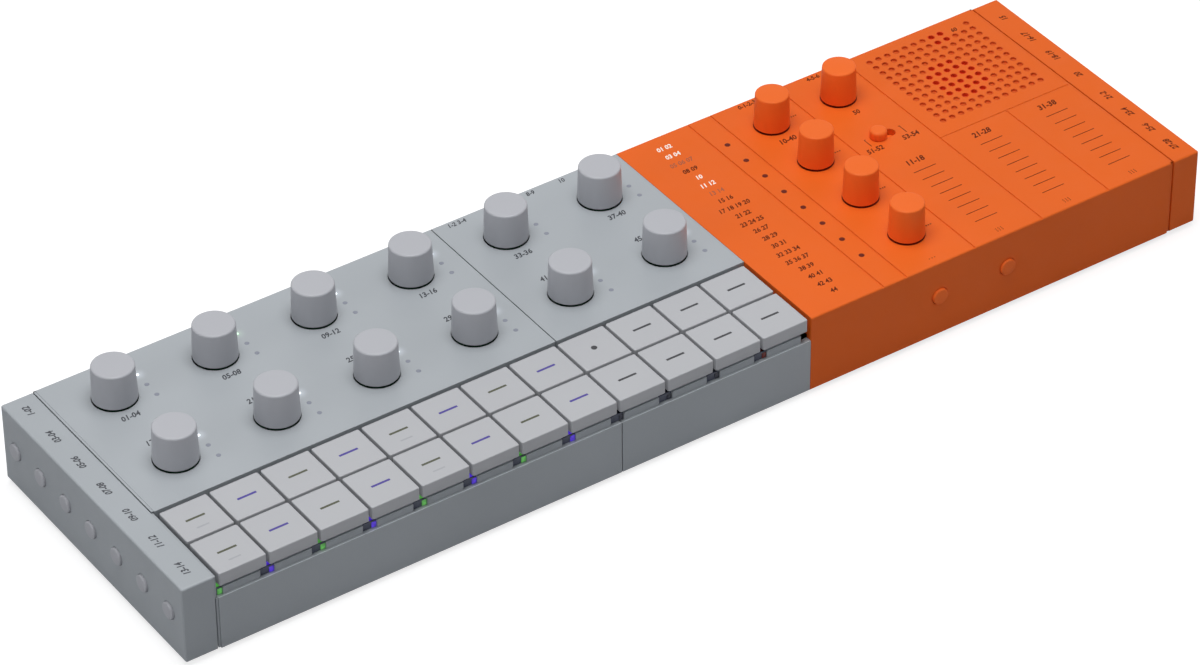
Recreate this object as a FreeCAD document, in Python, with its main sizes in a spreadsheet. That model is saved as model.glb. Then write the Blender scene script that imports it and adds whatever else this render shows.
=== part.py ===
import FreeCAD, Part
import math
import os
import Sketcher
from FreeCAD import Vector

# Driving dimensions in millimetres. The sheet holds them, and every object below is bound to the sheet.
SIZES = {
    # outside
    "foot_height": 1.6,
    "body_height": 25.0,
    "panel_depth": 63.4,
    "wall": 2.0,
    "panel_thickness": 2.0,
    "edge_radius": 0.5,
    # division along the length, from the left
    "left_cap_length": 9.8,
    "right_cap_length": 9.1,
    "cap_rear_inset": 0.3,
    "groove_width": 1.1,
    "groove_depth": 0.7,
    "tongue_gap": 0.2,
    "cap_edge": 0.6,
    "split_gap": 0.3,
    "split_offset": 0.5,
    "seam_gap": 0.1,
    "synth_margin": 0.63,
    "list_column": 25.0,
    "lamp_column": 8.0,
    "control_column": 24.0,
    "line_width": 0.5,
    "line_depth": 0.3,
    "divider_depth": 47.6,
    # keys
    "key_pitch": 16.0,
    "key_gap": 0.66,
    "key_skirt": 4.1,
    "key_wall": 1.2,
    "key_top": 1.6,
    "key_edge": 0.35,
    "key_travel": 1.0,
    "key_rest_gap": 0.25,
    "stem_side": 4.4,
    "stem_clearance": 0.1,
    "bed_thickness": 1.5,
    "front_wall_height": 17.25,
    "front_chamfer": 0.3,
    "ledge_depth": 0.8,
    "window_width": 4.5,
    "window_depth": 3.2,
    "guide_clearance": 0.1,
    # knobs
    "knob_offset": 0.7,
    "knob_row": 16.0,
    "knob_row_pitch": 32.2,
    "knob_lift": 0.5,
    "knob_height": 10.9,
    "knob_base_radius": 6.45,
    "knob_top_radius": 6.1,
    "knob_edge": 0.5,
    "knob_clearance": 0.1,
    "sound_knob_base_radius": 5.3,
    "sound_knob_top_radius": 5.0,
    "sound_knob_row": 16.25,
    "sound_knob_pitch": 21.6,
    "spindle_radius": 2.5,
    "spindle_clearance": 0.1,
    "hub_depth": 7.5,
    # encoders
    "encoder_side": 11.7,
    "encoder_height": 7.0,
    "bush_radius": 3.5,
    "bush_height": 4.0,
    "spindle_depth": 3.0,
    # slide switch
    "slide_row": 58.55,
    "slide_offset": -0.3,
    "slide_length": 7.7,
    "slide_width": 3.7,
    "slide_cap_radius": 2.3,
    "slide_cap_height": 2.65,
    "slide_cap_lift": 0.15,
    "slide_cap_edge": 0.6,
    "slide_clearance": 0.15,
    "slide_plate": 1.0,
    "slide_plate_length": 9.0,
    "slide_plate_width": 6.0,
    "slide_lever": 1.4,
    "slide_body_length": 12.0,
    "slide_body_width": 6.0,
    "slide_body_height": 5.0,
    "slide_body_slot": 1.5,
    # sound holes
    "hole_pitch": 3.25,
    "hole_radius": 0.9,
    "dimple_depth": 0.9,
    "grille_depth": 23.15,
    # side buttons
    "button_height": 13.3,
    "button_radius": 2.55,
    "button_clearance": 0.15,
    "button_proud": 0.8,
    "button_travel": 0.5,
    "bar_thickness": 1.2,
    "bar_height": 6.0,
    "bar_gap": 0.3,
    "plunger_side": 2.2,
    "plunger_length": 4.2,
    "bar_reach": 4.0,
    "left_button_pitch": 13.45,
    "right_button_pitch": 9.9,
    "right_button_first": 7.5,
    "rear_button_pitch": 12.0,
    "rear_button_first": 7.5,
    # sockets
    "jack_pitch": 11.8,
    "jack_first": 21.5,
    "jack_bore_radius": 1.8,
    "jack_bore_length": 13.5,
    "jack_nose_radius": 3.1,
    "jack_body_width": 8.0,
    "jack_body_height": 6.0,
    "jack_length": 14.0,
    "usb_row": 9.5,
    "usb_width": 9.0,
    "usb_height": 3.3,
    "usb_wall": 0.35,
    "usb_length": 9.0,
    "usb_tongue": 0.7,
    "usb_tongue_width": 6.7,
    "usb_back": 1.5,
    "socket_recess": 0.1,
    "socket_clearance": 0.2,
    # inside
    "board_height": 10.2,
    "board_thickness": 1.6,
    "board_margin": 0.5,
    "board_notch_margin": 6.0,
    "switch_side": 6.2,
    "switch_height": 4.4,
    "switch_plunger": 0.5,
    "switch_plunger_side": 3.0,
    "switch_gap": 0.1,
    "side_switch_length": 4.0,
    "side_switch_width": 4.6,
    "side_switch_height": 3.0,
    "boss_radius": 2.8,
    "boss_shoulder": 0.9,
    "boss_row": 35.0,
    "boss_clearance": 0.4,
    "screw_radius": 1.2,
    "screw_head_radius": 2.4,
    "screw_head_height": 1.3,
    "screw_head_recess": 0.1,
    "screw_hole_clearance": 0.2,
    "screw_length": 8.0,
    "screw_clearance": 0.05,
    "cover_clearance": 0.15,
    "battery_length": 80.0,
    "battery_width": 36.0,
    "battery_thickness": 7.2,
    "battery_corner": 1.5,
    "tray_wall": 1.2,
    "tray_height": 4.0,
    "tray_clearance": 0.3,
    "speaker_radius": 14.0,
    "speaker_height": 6.0,
    "speaker_magnet_radius": 8.0,
    "speaker_magnet_height": 2.0,
    "speaker_rim": 1.2,
    "speaker_ring": 1.2,
    "speaker_ring_height": 3.0,
    "speaker_clearance": 0.2,
    "foot_radius": 6.0,
    "foot_inset": 26.0,
    "foot_row": 34.0,
    "foot_edge": 0.4,
}
COUNTS = {
    "drum_columns": 8,
    "synth_columns": 4,
    "key_rows": 2,
    "control_columns": 4,
    "grille_side": 12,
    "left_buttons": 7,
    "right_buttons": 4,
    "synth_rear_buttons": 4,
    "jacks": 3,
}

# Which sound holes there are, by column and row: the middle of those that go through, and those left out
GRILLE = {
    "speaker_column": 5,
    "speaker_row": 6.5,
    "speaker_reach": 2.7,
    "microphone_columns": (7, 8),
    "microphone_rows": (0, 1),
    "missing_columns": (9, 10),
    "missing_rows": (0,),
}

doc = FreeCAD.newDocument("drum_machine")


def make_sheet():
    """Write every driving dimension into the sheet under its own alias."""
    sheet = doc.addObject("Spreadsheet::Sheet", "sizes")
    for row, (name, value) in enumerate(SIZES.items(), start=1):
        sheet.set(f"A{row}", name)
        sheet.set(f"B{row}", str(value))
        sheet.setAlias(f"B{row}", name)
    doc.recompute()
    return sheet


class Size:
    """A length that knows both its value and the sheet formula it comes from."""

    def __init__(self, value, formula):
        self.value = float(value)
        self.formula = formula

    def join(self, other, sign, value):
        return Size(value, f"({self.formula} {sign} {as_size(other).formula})")

    def __add__(self, other):
        return self.join(other, "+", self.value + as_size(other).value)

    def __radd__(self, other):
        return as_size(other) + self

    def __sub__(self, other):
        return self.join(other, "-", self.value - as_size(other).value)

    def __rsub__(self, other):
        return as_size(other) - self

    def __mul__(self, other):
        return self.join(other, "*", self.value * as_size(other).value)

    def __rmul__(self, other):
        return as_size(other) * self

    def __truediv__(self, other):
        return self.join(other, "/", self.value / as_size(other).value)

    def __neg__(self):
        return Size(-self.value, f"(0 - {self.formula})")


def as_size(number):
    return number if isinstance(number, Size) else Size(number, repr(float(number)))


class Names:
    """The sheet's sizes as attributes, such as of.key_pitch."""

    def __getattr__(self, name):
        return Size(SIZES[name], f"sizes.{name}")


make_sheet()
of = Names()

# Places worked out from the driving dimensions, in the part's own frame
drum_columns = COUNTS["drum_columns"]
columns = drum_columns + COUNTS["synth_columns"]
body_width = of.key_pitch * COUNTS["key_rows"] + of.panel_depth
half_width = body_width / 2
drum_length = of.key_pitch * drum_columns + of.split_offset
synth_reach = of.key_pitch * columns + of.synth_margin - of.key_gap / 2
synth_length = synth_reach - drum_length - of.split_gap
controls_length = of.control_column * COUNTS["control_columns"]
effects_length = of.list_column + of.lamp_column + controls_length - of.groove_width
housing_run = synth_reach + of.seam_gap + effects_length
body_length = of.left_cap_length + of.groove_width * 2 + housing_run + of.right_cap_length
left_end = -(body_length / 2)
right_end = body_length / 2
left_cap_end = left_end + of.left_cap_length
right_cap_start = right_end - of.right_cap_length
drum_left = left_cap_end + of.groove_width
drum_right = drum_left + drum_length
synth_left = drum_right + of.split_gap
synth_right = synth_left + synth_length
effects_left = synth_right + of.seam_gap
effects_right = effects_left + effects_length
front = -half_width
rear = half_width
panel_front = front + of.key_pitch * COUNTS["key_rows"]
base = of.foot_height
top = base + of.body_height
ceiling = top - of.panel_thickness
cover_top = base + of.wall
board_bottom = base + of.board_height
board_top = board_bottom + of.board_thickness
skirt_bottom = top - of.key_skirt
bed_top = skirt_bottom - of.key_travel - of.key_rest_gap
bed_bottom = bed_top - of.bed_thickness
ledge_top = base + of.front_wall_height
inner_front = front + of.ledge_depth
button_z = base + of.button_height
jack_z = board_top + of.jack_body_height / 2
usb_z = board_top + of.usb_height / 2
lamp_left = effects_left + of.list_column
control_left = lamp_left + of.lamp_column
key_side = of.key_pitch - of.key_gap
switch_top = board_top + of.switch_height + of.switch_plunger
mechanism_room = of.bar_gap + of.bar_thickness + of.plunger_length + of.button_travel + of.switch_gap
socket_mouth = right_end - of.socket_recess
list_x = effects_left + of.list_column / 2


def key_edge_x(index):
    """The boundary on the left of a key column."""
    return drum_left - of.key_gap / 2 + of.key_pitch * index


def key_row_y(row):
    """The middle of a row of keys, counted from the front."""
    return front - of.key_gap / 2 + of.key_pitch * (row + 0.5)


def knob_x(column):
    return key_edge_x(1) + of.knob_offset + of.key_pitch * 2 * column


def knob_y(row):
    return panel_front + of.knob_row + of.knob_row_pitch * row


def control_x(column):
    """The middle of a column on the effects panel."""
    return control_left + of.control_column * (column + 0.5)


def sound_knob_y(row):
    return front + of.sound_knob_row + of.sound_knob_pitch * row


def hole_x(column):
    return control_x(2) + of.control_column / 2 + of.hole_pitch * (column - (COUNTS["grille_side"] - 1) / 2)


def hole_y(row):
    """A row of sound holes, counted from the rear."""
    return rear - of.grille_depth - of.hole_pitch * (row - (COUNTS["grille_side"] - 1) / 2)


slide_x = control_x(1) + of.slide_offset
slide_y = front + of.slide_row
slide_start = slide_x - of.slide_length / 2 + of.slide_width / 2
slide_travel = of.slide_length - of.slide_width
speaker_x = hole_x(GRILLE["speaker_column"])
speaker_y = hole_y(GRILLE["speaker_row"])
battery_x = knob_x(1.5)
battery_y = (key_row_y(0.5) + knob_y(0.5)) / 2
sound_knob_places = [(control_x(0), sound_knob_y(row)) for row in range(4)]
effects_knob_place = (control_x(1), sound_knob_y(3))
knob_places = [(knob_x(column), knob_y(row)) for row in range(2) for column in range(columns // 2)]
left_button_rows = [of.left_button_pitch * (step - (COUNTS["left_buttons"] - 1) / 2)
                    for step in range(COUNTS["left_buttons"])]
right_button_rows = [front + of.right_button_first + of.right_button_pitch * step
                     for step in range(COUNTS["right_buttons"])]
front_buttons = [control_x(0), control_x(1)]
synth_rear_buttons = [synth_left + of.rear_button_first + of.rear_button_pitch * step
                      for step in range(COUNTS["synth_rear_buttons"])]
rear_buttons = synth_rear_buttons + front_buttons
usb_y = rear - of.usb_row
jack_rows = [rear - of.jack_first - of.jack_pitch * step for step in range(COUNTS["jacks"])]
drum_bosses = [(key_edge_x(column), key_row_y(0.5), bed_bottom) for column in (2, 6)]
drum_bosses += [(knob_x(column), knob_y(0.5), ceiling) for column in (0.5, 2.5)]
synth_bosses = [(key_edge_x(10), key_row_y(0.5), bed_bottom), (knob_x(4.5), knob_y(0.5), ceiling)]
effects_bosses = [(x, y, ceiling) for x in (list_x, control_x(3)) for y in (-of.boss_row, of.boss_row)]
bosses = [(x, y) for x, y, _ in drum_bosses + synth_bosses + effects_bosses]


# Helpers that tie features to the sheet
def bind(item, name, size):
    item.setExpression(name, as_size(size).formula)


def place(item, x=0.0, y=0.0, z=0.0):
    for axis, size in zip("xyz", (x, y, z)):
        bind(item, f"Placement.Base.{axis}", size)
    return item


def new_body(name, x=0.0, y=0.0, z=0.0, separate=False):
    """A body at a place; separate lets it hold several solids that don't touch."""
    body = doc.addObject("PartDesign::Body", name)
    body.Label = name
    body.AllowCompound = separate
    return place(body, x, y, z)


class Drawing:
    """The lines, arcs and dimensions of one sketch, which go into it together."""

    def __init__(self, sketch):
        self.sketch = sketch
        self.shapes = []
        self.rules = []
        self.sizes = []

    def add(self, shape):
        self.shapes.append(shape)
        return len(self.shapes) - 1

    def join(self, first, first_end, second, second_end):
        self.rules.append(Sketcher.Constraint("Coincident", first, first_end, second, second_end))

    def fix(self, kind, target, size):
        """A driving dimension that follows the sheet."""
        self.sizes.append((len(self.rules), as_size(size)))
        self.rules.append(Sketcher.Constraint(kind, *target, as_size(size).value))

    def fix_point(self, shape, end, u, v):
        self.fix("DistanceX", (-1, 1, shape, end), u)
        self.fix("DistanceY", (-1, 1, shape, end), v)

    def close(self):
        self.sketch.addGeometry(self.shapes, False)
        self.sketch.addConstraint(self.rules)
        for index, size in self.sizes:
            bind(self.sketch, f"Constraints[{index}]", size)
        return self.sketch


def sketch_on(body, role, offset=0.0):
    """A drawing on one of the body's origin planes, moved along the plane's normal."""
    plane = [feature for feature in body.Origin.OriginFeatures if feature.Role == role][0]
    sketch = body.newObject("Sketcher::SketchObject", "Sketch")
    sketch.AttachmentSupport = [(plane, "")]
    sketch.MapMode = "FlatFace"
    bind(sketch, "AttachmentOffset.Base.z", offset)
    return Drawing(sketch)


def sign(size):
    return (size.value > 1e-9) - (size.value < -1e-9)


def shifted(size, radius, direction):
    """A coordinate moved by a radius along +1, -1 or 0."""
    return size if direction == 0 else size + radius * direction


def to_vector(point):
    return Vector(as_size(point[0]).value, as_size(point[1]).value, 0)


def polygon(drawing, points):
    """A closed outline of (u, v) corners; a third value is the radius of a rounded right-angled corner."""
    count = len(points)
    corners = [(as_size(point[0]), as_size(point[1])) for point in points]
    radii = [as_size(point[2]) if len(point) > 2 else None for point in points]
    arrive, leave = list(corners), list(corners)
    rounds = {}
    for index, (u, v) in enumerate(corners):
        radius = radii[index]
        if radius is None:
            continue
        before = corners[index - 1]
        after = corners[(index + 1) % count]
        inward = (sign(u - before[0]), sign(v - before[1]))
        outward = (sign(after[0] - u), sign(after[1] - v))
        arrive[index] = (shifted(u, radius, -inward[0]), shifted(v, radius, -inward[1]))
        leave[index] = (shifted(u, radius, outward[0]), shifted(v, radius, outward[1]))
        middle = (shifted(u, radius, outward[0] - inward[0]), shifted(v, radius, outward[1] - inward[1]))
        leftward = inward[0] * outward[1] - inward[1] * outward[0] > 0
        rounds[index] = (radius, middle, leftward)
    first = len(drawing.shapes)
    for index in range(count):
        drawing.add(Part.LineSegment(to_vector(leave[index]), to_vector(arrive[(index + 1) % count])))
    for index in range(count):
        line_in = first + (index - 1) % count
        line_out = first + index
        drawing.fix_point(line_out, 1, *leave[index])
        if index not in rounds:
            drawing.join(line_in, 2, line_out, 1)
            continue
        radius, middle, leftward = rounds[index]
        drawing.fix_point(line_in, 2, *arrive[index])
        arc = drawing.add(corner_arc(arrive[index], leave[index], middle, radius))
        ends = (1, 2) if leftward else (2, 1)
        drawing.join(line_in, 2, arc, ends[0])
        drawing.join(line_out, 1, arc, ends[1])
        drawing.fix("Radius", (arc,), radius)


def corner_arc(start, end, centre, radius):
    """The arc of a rounded corner, through the point that lies on it halfway."""
    heart = to_vector(centre)
    outwards = (to_vector(start) - heart) + (to_vector(end) - heart)
    halfway = heart + outwards.normalize() * radius.value
    return Part.Arc(to_vector(start), halfway, to_vector(end))


def rectangle(drawing, u0, v0, u1, v1, radius=None):
    corners = [(u0, v0), (u1, v0), (u1, v1), (u0, v1)]
    polygon(drawing, corners if radius is None else [(*corner, radius) for corner in corners])


def square(drawing, u, v, side):
    half = as_size(side) / 2
    rectangle(drawing, u - half, v - half, u + half, v + half)


def circle(drawing, u, v, radius):
    index = drawing.add(Part.Circle(to_vector((u, v)), Vector(0, 0, 1), as_size(radius).value))
    drawing.fix_point(index, 3, u, v)
    drawing.fix("Radius", (index,), radius)


def stadium(drawing, u, v, length, width):
    """A slot outline: two straight sides and two half circles, turned counterclockwise."""
    radius = as_size(width) / 2
    left = u - as_size(length) / 2 + radius
    right = u + as_size(length) / 2 - radius
    low = v - radius
    high = v + radius
    bottom = drawing.add(Part.LineSegment(to_vector((left, low)), to_vector((right, low))))
    right_arc = drawing.add(half_circle((right, low), (right + radius, v), (right, high)))
    lid = drawing.add(Part.LineSegment(to_vector((right, high)), to_vector((left, high))))
    left_arc = drawing.add(half_circle((left, high), (left - radius, v), (left, low)))
    ring = (bottom, right_arc, lid, left_arc)
    for shape, following in zip(ring, ring[1:] + ring[:1]):
        drawing.join(shape, 2, following, 1)
    for line, start, end in ((bottom, (left, low), (right, low)), (lid, (right, high), (left, high))):
        drawing.fix_point(line, 1, *start)
        drawing.fix_point(line, 2, *end)
    drawing.fix("DistanceX", (-1, 1, right_arc, 3), right)
    drawing.fix("DistanceX", (-1, 1, left_arc, 3), left)


def half_circle(start, through, end):
    return Part.Arc(to_vector(start), to_vector(through), to_vector(end))


def pad(body, sketch, length):
    feature = body.newObject("PartDesign::Pad", "Pad")
    feature.Profile = sketch.close()
    bind(feature, "Length", length)
    return feature


def pocket(body, sketch, depth, forward=False):
    """Cut against the sketch's normal, or along it when forward is set."""
    feature = body.newObject("PartDesign::Pocket", "Pocket")
    feature.Profile = sketch.close()
    feature.Reversed = forward
    feature.Refine = False
    bind(feature, "Length", depth)
    return feature


def revolve(body, sketch):
    feature = body.newObject("PartDesign::Revolution", "Revolution")
    feature.Profile = sketch.close()
    feature.ReferenceAxis = (sketch.sketch, ["V_Axis"])
    feature.Angle = 360.0
    return feature


def body_axis(body, role):
    return ([line for line in body.Origin.OriginFeatures if line.Role == role][0], [""])


def pattern(body, feature, steps):
    """Repeat a feature; steps holds (axis role, pitch, count) for each direction."""
    grid = body.newObject("PartDesign::MultiTransform", "Grid")
    grid.Originals = [feature]
    grid.Refine = False
    lines = []
    for role, pitch, count in steps:
        line = body.newObject("PartDesign::LinearPattern", "Line")
        line.Direction = body_axis(body, role)
        line.Occurrences = count
        bind(line, "Length", as_size(pitch) * (count - 1))
        lines.append(line)
    grid.Transformations = lines
    body.Tip = grid
    return grid


def finish_edges(body, kind, size, chosen):
    """Round or bevel the edges for which chosen(box) is true, where box is the edge's bounding box."""
    start = body.Tip
    names = [f"Edge{index}" for index, edge in enumerate(start.Shape.Edges, start=1) if chosen(edge.BoundBox)]
    feature = body.newObject(f"PartDesign::{kind}", kind)
    feature.Base = (start, names)
    bind(feature, "Radius" if kind == "Fillet" else "Size", size)
    return feature


def at(value, size):
    return abs(value - as_size(size).value) < 1e-4


def box(name, x, y, z, length, width, height):
    """A block centred on x and y, standing on z."""
    item = doc.addObject("Part::Box", name)
    bind(item, "Length", length)
    bind(item, "Width", width)
    bind(item, "Height", height)
    return place(item, as_size(x) - as_size(length) / 2, as_size(y) - as_size(width) / 2, z)


def prism(name, x, y, z, radius, height, outside=False, sides=8):
    """A pin with flat sides, or with outside set the cutter of a hole that a round pin of the radius fits."""
    item = doc.addObject("Part::Prism", name)
    item.Polygon = sides
    bind(item, "Circumradius", radius / math.cos(math.pi / sides) if outside else radius)
    bind(item, "Height", height)
    return place(item, x, y, z)


def fuse(name, items):
    item = doc.addObject("Part::MultiFuse", name)
    item.Shapes = items
    item.Refine = True
    return item


def cut(name, item, tool):
    result = doc.addObject("Part::Cut", name)
    result.Base = item
    result.Tool = tool
    result.Refine = False
    return result


def compound(name, items):
    item = doc.addObject("Part::Compound", name)
    item.Links = items
    return item


def named(item, name):
    """Give an item the name of its sub-part, which is also its file's name."""
    item.Label = name
    return item


# Housings
def keyed_section(sketch):
    """The section of a housing with a key bay: front wall, ledge, key bed, panel and rear wall."""
    back = panel_front + of.wall
    polygon(sketch, [
        (front, base),
        (front, ledge_top, of.front_chamfer),
        (inner_front, ledge_top),
        (inner_front, bed_top),
        (panel_front, bed_top),
        (panel_front, top),
        (rear, top, of.edge_radius),
        (rear, base),
        (rear - of.wall, base),
        (rear - of.wall, ceiling),
        (back, ceiling),
        (back, bed_bottom),
        (front + of.wall, bed_bottom),
        (front + of.wall, base),
    ])


def add_bosses(name, shell, places, cutters=()):
    """Screw posts that hang down to the bottom cover: a shoulder for the board, and a pilot hole.

    Each place is (x, y, height of the face that the post hangs from), and cutters are more holes to make."""
    posts, holes = [], []
    for step, (x, y, under) in enumerate(places, start=1):
        post = prism(f"{name}_post_{step}", x, y, cover_top, of.boss_radius, under - cover_top)
        shoulder = prism(f"{name}_shoulder_{step}", x, y, board_top, of.boss_radius + of.boss_shoulder,
                         under - board_top)
        hole = prism(f"{name}_pilot_{step}", x, y, cover_top, of.screw_radius + of.screw_clearance,
                     of.screw_length, outside=True)
        posts += [post, shoulder]
        holes.append(hole)
    outside = fuse(f"{name}_outside", [shell] + posts)
    return named(cut(f"{name}_bored", outside, compound(f"{name}_holes", holes + list(cutters))), name)


def cut_windows(body, first, count):
    """The notches in the edge of the key bed where the light guides look out."""
    sketch = sketch_on(body, "XY_Plane", bed_top)
    half = of.window_width / 2
    for index in range(first, first + count):
        middle = key_edge_x(index)
        rectangle(sketch, middle - half, front, middle + half, inner_front + of.window_depth)
    pocket(body, sketch, bed_top - ledge_top)


def cut_stem_holes(body, first, count):
    sketch = sketch_on(body, "XY_Plane", bed_top)
    square(sketch, key_edge_x(first + 0.5), key_row_y(0), of.stem_side + of.stem_clearance * 2)
    hole = pocket(body, sketch, of.bed_thickness)
    pattern(body, hole, [("X_Axis", of.key_pitch, count), ("Y_Axis", of.key_pitch, COUNTS["key_rows"])])


def cut_knob_holes(body, first, count):
    sketch = sketch_on(body, "XY_Plane", top)
    circle(sketch, knob_x(first), knob_y(0), of.knob_base_radius + of.knob_clearance)
    hole = pocket(body, sketch, of.panel_thickness)
    pattern(body, hole, [("X_Axis", of.key_pitch * 2, count), ("Y_Axis", of.knob_row_pitch, 2)])


def cut_wall_holes(body, places, wall_front):
    """Round holes for buttons in the front or rear wall; wall_front is the wall's face nearer the front."""
    if not places:
        return
    sketch = sketch_on(body, "XZ_Plane", -wall_front)
    for x in places:
        circle(sketch, x, button_z, of.button_radius + of.button_clearance)
    pocket(body, sketch, of.wall)


def make_keyed_housing(name, left, length, first_column, column_count, wall_holes, housing_bosses):
    body = new_body(f"{name}_shell")
    outline = sketch_on(body, "YZ_Plane", left)
    keyed_section(outline)
    pad(body, outline, length)
    cut_windows(body, first_column, column_count + 1)
    cut_stem_holes(body, first_column, column_count)
    cut_knob_holes(body, first_column // 2, column_count // 2)
    cut_wall_holes(body, wall_holes, rear - of.wall)
    return add_bosses(name, body, housing_bosses)


def make_drum_housing():
    return make_keyed_housing("drum_housing", drum_left, drum_length, 0, drum_columns, [], drum_bosses)


def make_synth_housing():
    count = COUNTS["synth_columns"]
    return make_keyed_housing("synth_housing", synth_left, synth_length, drum_columns, count,
                              synth_rear_buttons, synth_bosses)


def plain_section(sketch):
    """The section of a housing without keys: front wall, panel and rear wall."""
    polygon(sketch, [
        (front, base),
        (front, top, of.edge_radius),
        (rear, top, of.edge_radius),
        (rear, base),
        (rear - of.wall, base),
        (rear - of.wall, ceiling),
        (front + of.wall, ceiling),
        (front + of.wall, base),
    ])


def make_effects_housing():
    body = new_body("effects_housing_shell")
    section = sketch_on(body, "YZ_Plane", effects_left)
    plain_section(section)
    pad(body, section, effects_length)
    bay_side = sketch_on(body, "YZ_Plane", effects_left)
    rectangle(bay_side, front + of.wall / 2, bed_bottom, panel_front + of.wall, top - of.panel_thickness / 2)
    pad(body, bay_side, of.wall)
    holes = sketch_on(body, "XY_Plane", top)
    for x, y in sound_knob_places + [effects_knob_place]:
        circle(holes, x, y, of.sound_knob_base_radius + of.knob_clearance)
    stadium(holes, slide_x, slide_y, of.slide_length, of.slide_width)
    pocket(body, holes, of.panel_thickness)
    cut_lines(body)
    cut_wall_holes(body, front_buttons, front)
    cut_wall_holes(body, front_buttons, rear - of.wall)
    add_speaker_ring(body)
    return add_bosses("effects_housing", body, effects_bosses, make_grille())


def cut_lines(body):
    """Engraved lines that divide the effects panel into columns, with one cross line to the right."""
    half = of.line_width / 2
    cross_y = rear - of.divider_depth
    full = sketch_on(body, "XY_Plane", top)
    for x in [lamp_left] + [control_left + of.control_column * step for step in range(3)]:
        rectangle(full, x - half, front - half, x + half, rear + half)
    pocket(body, full, of.line_depth)
    left = control_left + of.control_column * 2
    x = left + of.control_column
    branch = sketch_on(body, "XY_Plane", top)
    polygon(branch, [
        (left, cross_y - half), (x - half, cross_y - half),
        (x - half, front - half), (x + half, front - half),
        (x + half, cross_y - half), (effects_right + half, cross_y - half),
        (effects_right + half, cross_y + half), (left, cross_y + half),
    ])
    pocket(body, branch, of.line_depth)


def add_speaker_ring(body):
    """The ring under the panel that holds the loudspeaker."""
    inner = of.speaker_radius + of.speaker_clearance
    sketch = sketch_on(body, "XY_Plane", ceiling - of.speaker_ring_height)
    circle(sketch, speaker_x, speaker_y, inner + of.speaker_ring)
    circle(sketch, speaker_x, speaker_y, inner)
    pad(body, sketch, of.speaker_ring_height)


def opens(column, row):
    """Whether a sound hole goes through: those over the loudspeaker and the microphone do."""
    reach = math.hypot(column - GRILLE["speaker_column"], row - GRILLE["speaker_row"])
    over_microphone = column in GRILLE["microphone_columns"] and row in GRILLE["microphone_rows"]
    return reach <= GRILLE["speaker_reach"] or over_microphone


def make_grille():
    """The cutters of a square field of sound holes, blind ones and open ones, less those that are missing."""
    side = range(COUNTS["grille_side"])
    spots = [(column, row) for row in side for column in side
             if column not in GRILLE["missing_columns"] or row not in GRILLE["missing_rows"]]
    holes = []
    for column, row in spots:
        depth = of.panel_thickness if opens(column, row) else of.dimple_depth
        holes.append(prism(f"sound_hole_{column}_{row}", hole_x(column), hole_y(row), top - depth,
                           of.hole_radius, depth, outside=True, sides=6))
    return holes


# End caps
def make_cap(name, left, length, end, tongue_left, opening):
    """A hollow cap with a set-back tongue that leaves a groove before the housing; end is its outer face."""
    body = new_body(name)
    rear_face = rear - of.cap_rear_inset
    on_right = end is right_end
    inner_face = left if on_right else left + length
    outline = sketch_on(body, "YZ_Plane", left)
    rectangle(outline, front, base, rear_face, top, of.cap_edge)
    pad(body, outline, length)
    doc.recompute()
    finish_edges(body, "Fillet", of.cap_edge, lambda box: at(box.XMin, end) and at(box.XMax, end))
    cavity = sketch_on(body, "YZ_Plane", inner_face)
    rectangle(cavity, front + of.wall, cover_top, rear_face - of.wall, ceiling)
    pocket(body, cavity, length - of.wall, forward=on_right)
    tongue = sketch_on(body, "YZ_Plane", tongue_left)
    inset = of.groove_depth
    rectangle(tongue, front + inset, base + inset, rear - inset, top - inset)
    polygon(tongue, opening)
    pad(body, tongue, of.groove_width - of.tongue_gap)
    return body


def make_left_cap():
    back = panel_front + of.wall
    opening = [
        (front + of.wall, cover_top), (rear - of.wall, cover_top), (rear - of.wall, ceiling),
        (back, ceiling), (back, bed_bottom), (front + of.wall, bed_bottom),
    ]
    body = make_cap("left_end_cap", left_end, of.left_cap_length, left_end, left_cap_end, opening)
    holes = sketch_on(body, "YZ_Plane", left_end + of.wall)
    for y in left_button_rows:
        circle(holes, y, button_z, of.button_radius + of.button_clearance)
    pocket(body, holes, of.wall)
    return body


def make_right_cap():
    opening = [
        (front + of.wall, cover_top), (rear - of.wall, cover_top),
        (rear - of.wall, ceiling), (front + of.wall, ceiling),
    ]
    tongue_left = right_cap_start - of.groove_width + of.tongue_gap
    body = make_cap("right_end_cap", right_cap_start, of.right_cap_length, right_end, tongue_left, opening)
    holes = sketch_on(body, "YZ_Plane", right_end)
    for y in right_button_rows:
        circle(holes, y, button_z, of.button_radius + of.button_clearance)
    for y in jack_rows:
        circle(holes, y, jack_z, of.jack_nose_radius + of.socket_clearance)
    clear = of.socket_clearance * 2
    stadium(holes, usb_y, usb_z, of.usb_width + clear, of.usb_height + clear)
    pocket(body, holes, of.wall)
    return body


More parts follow.
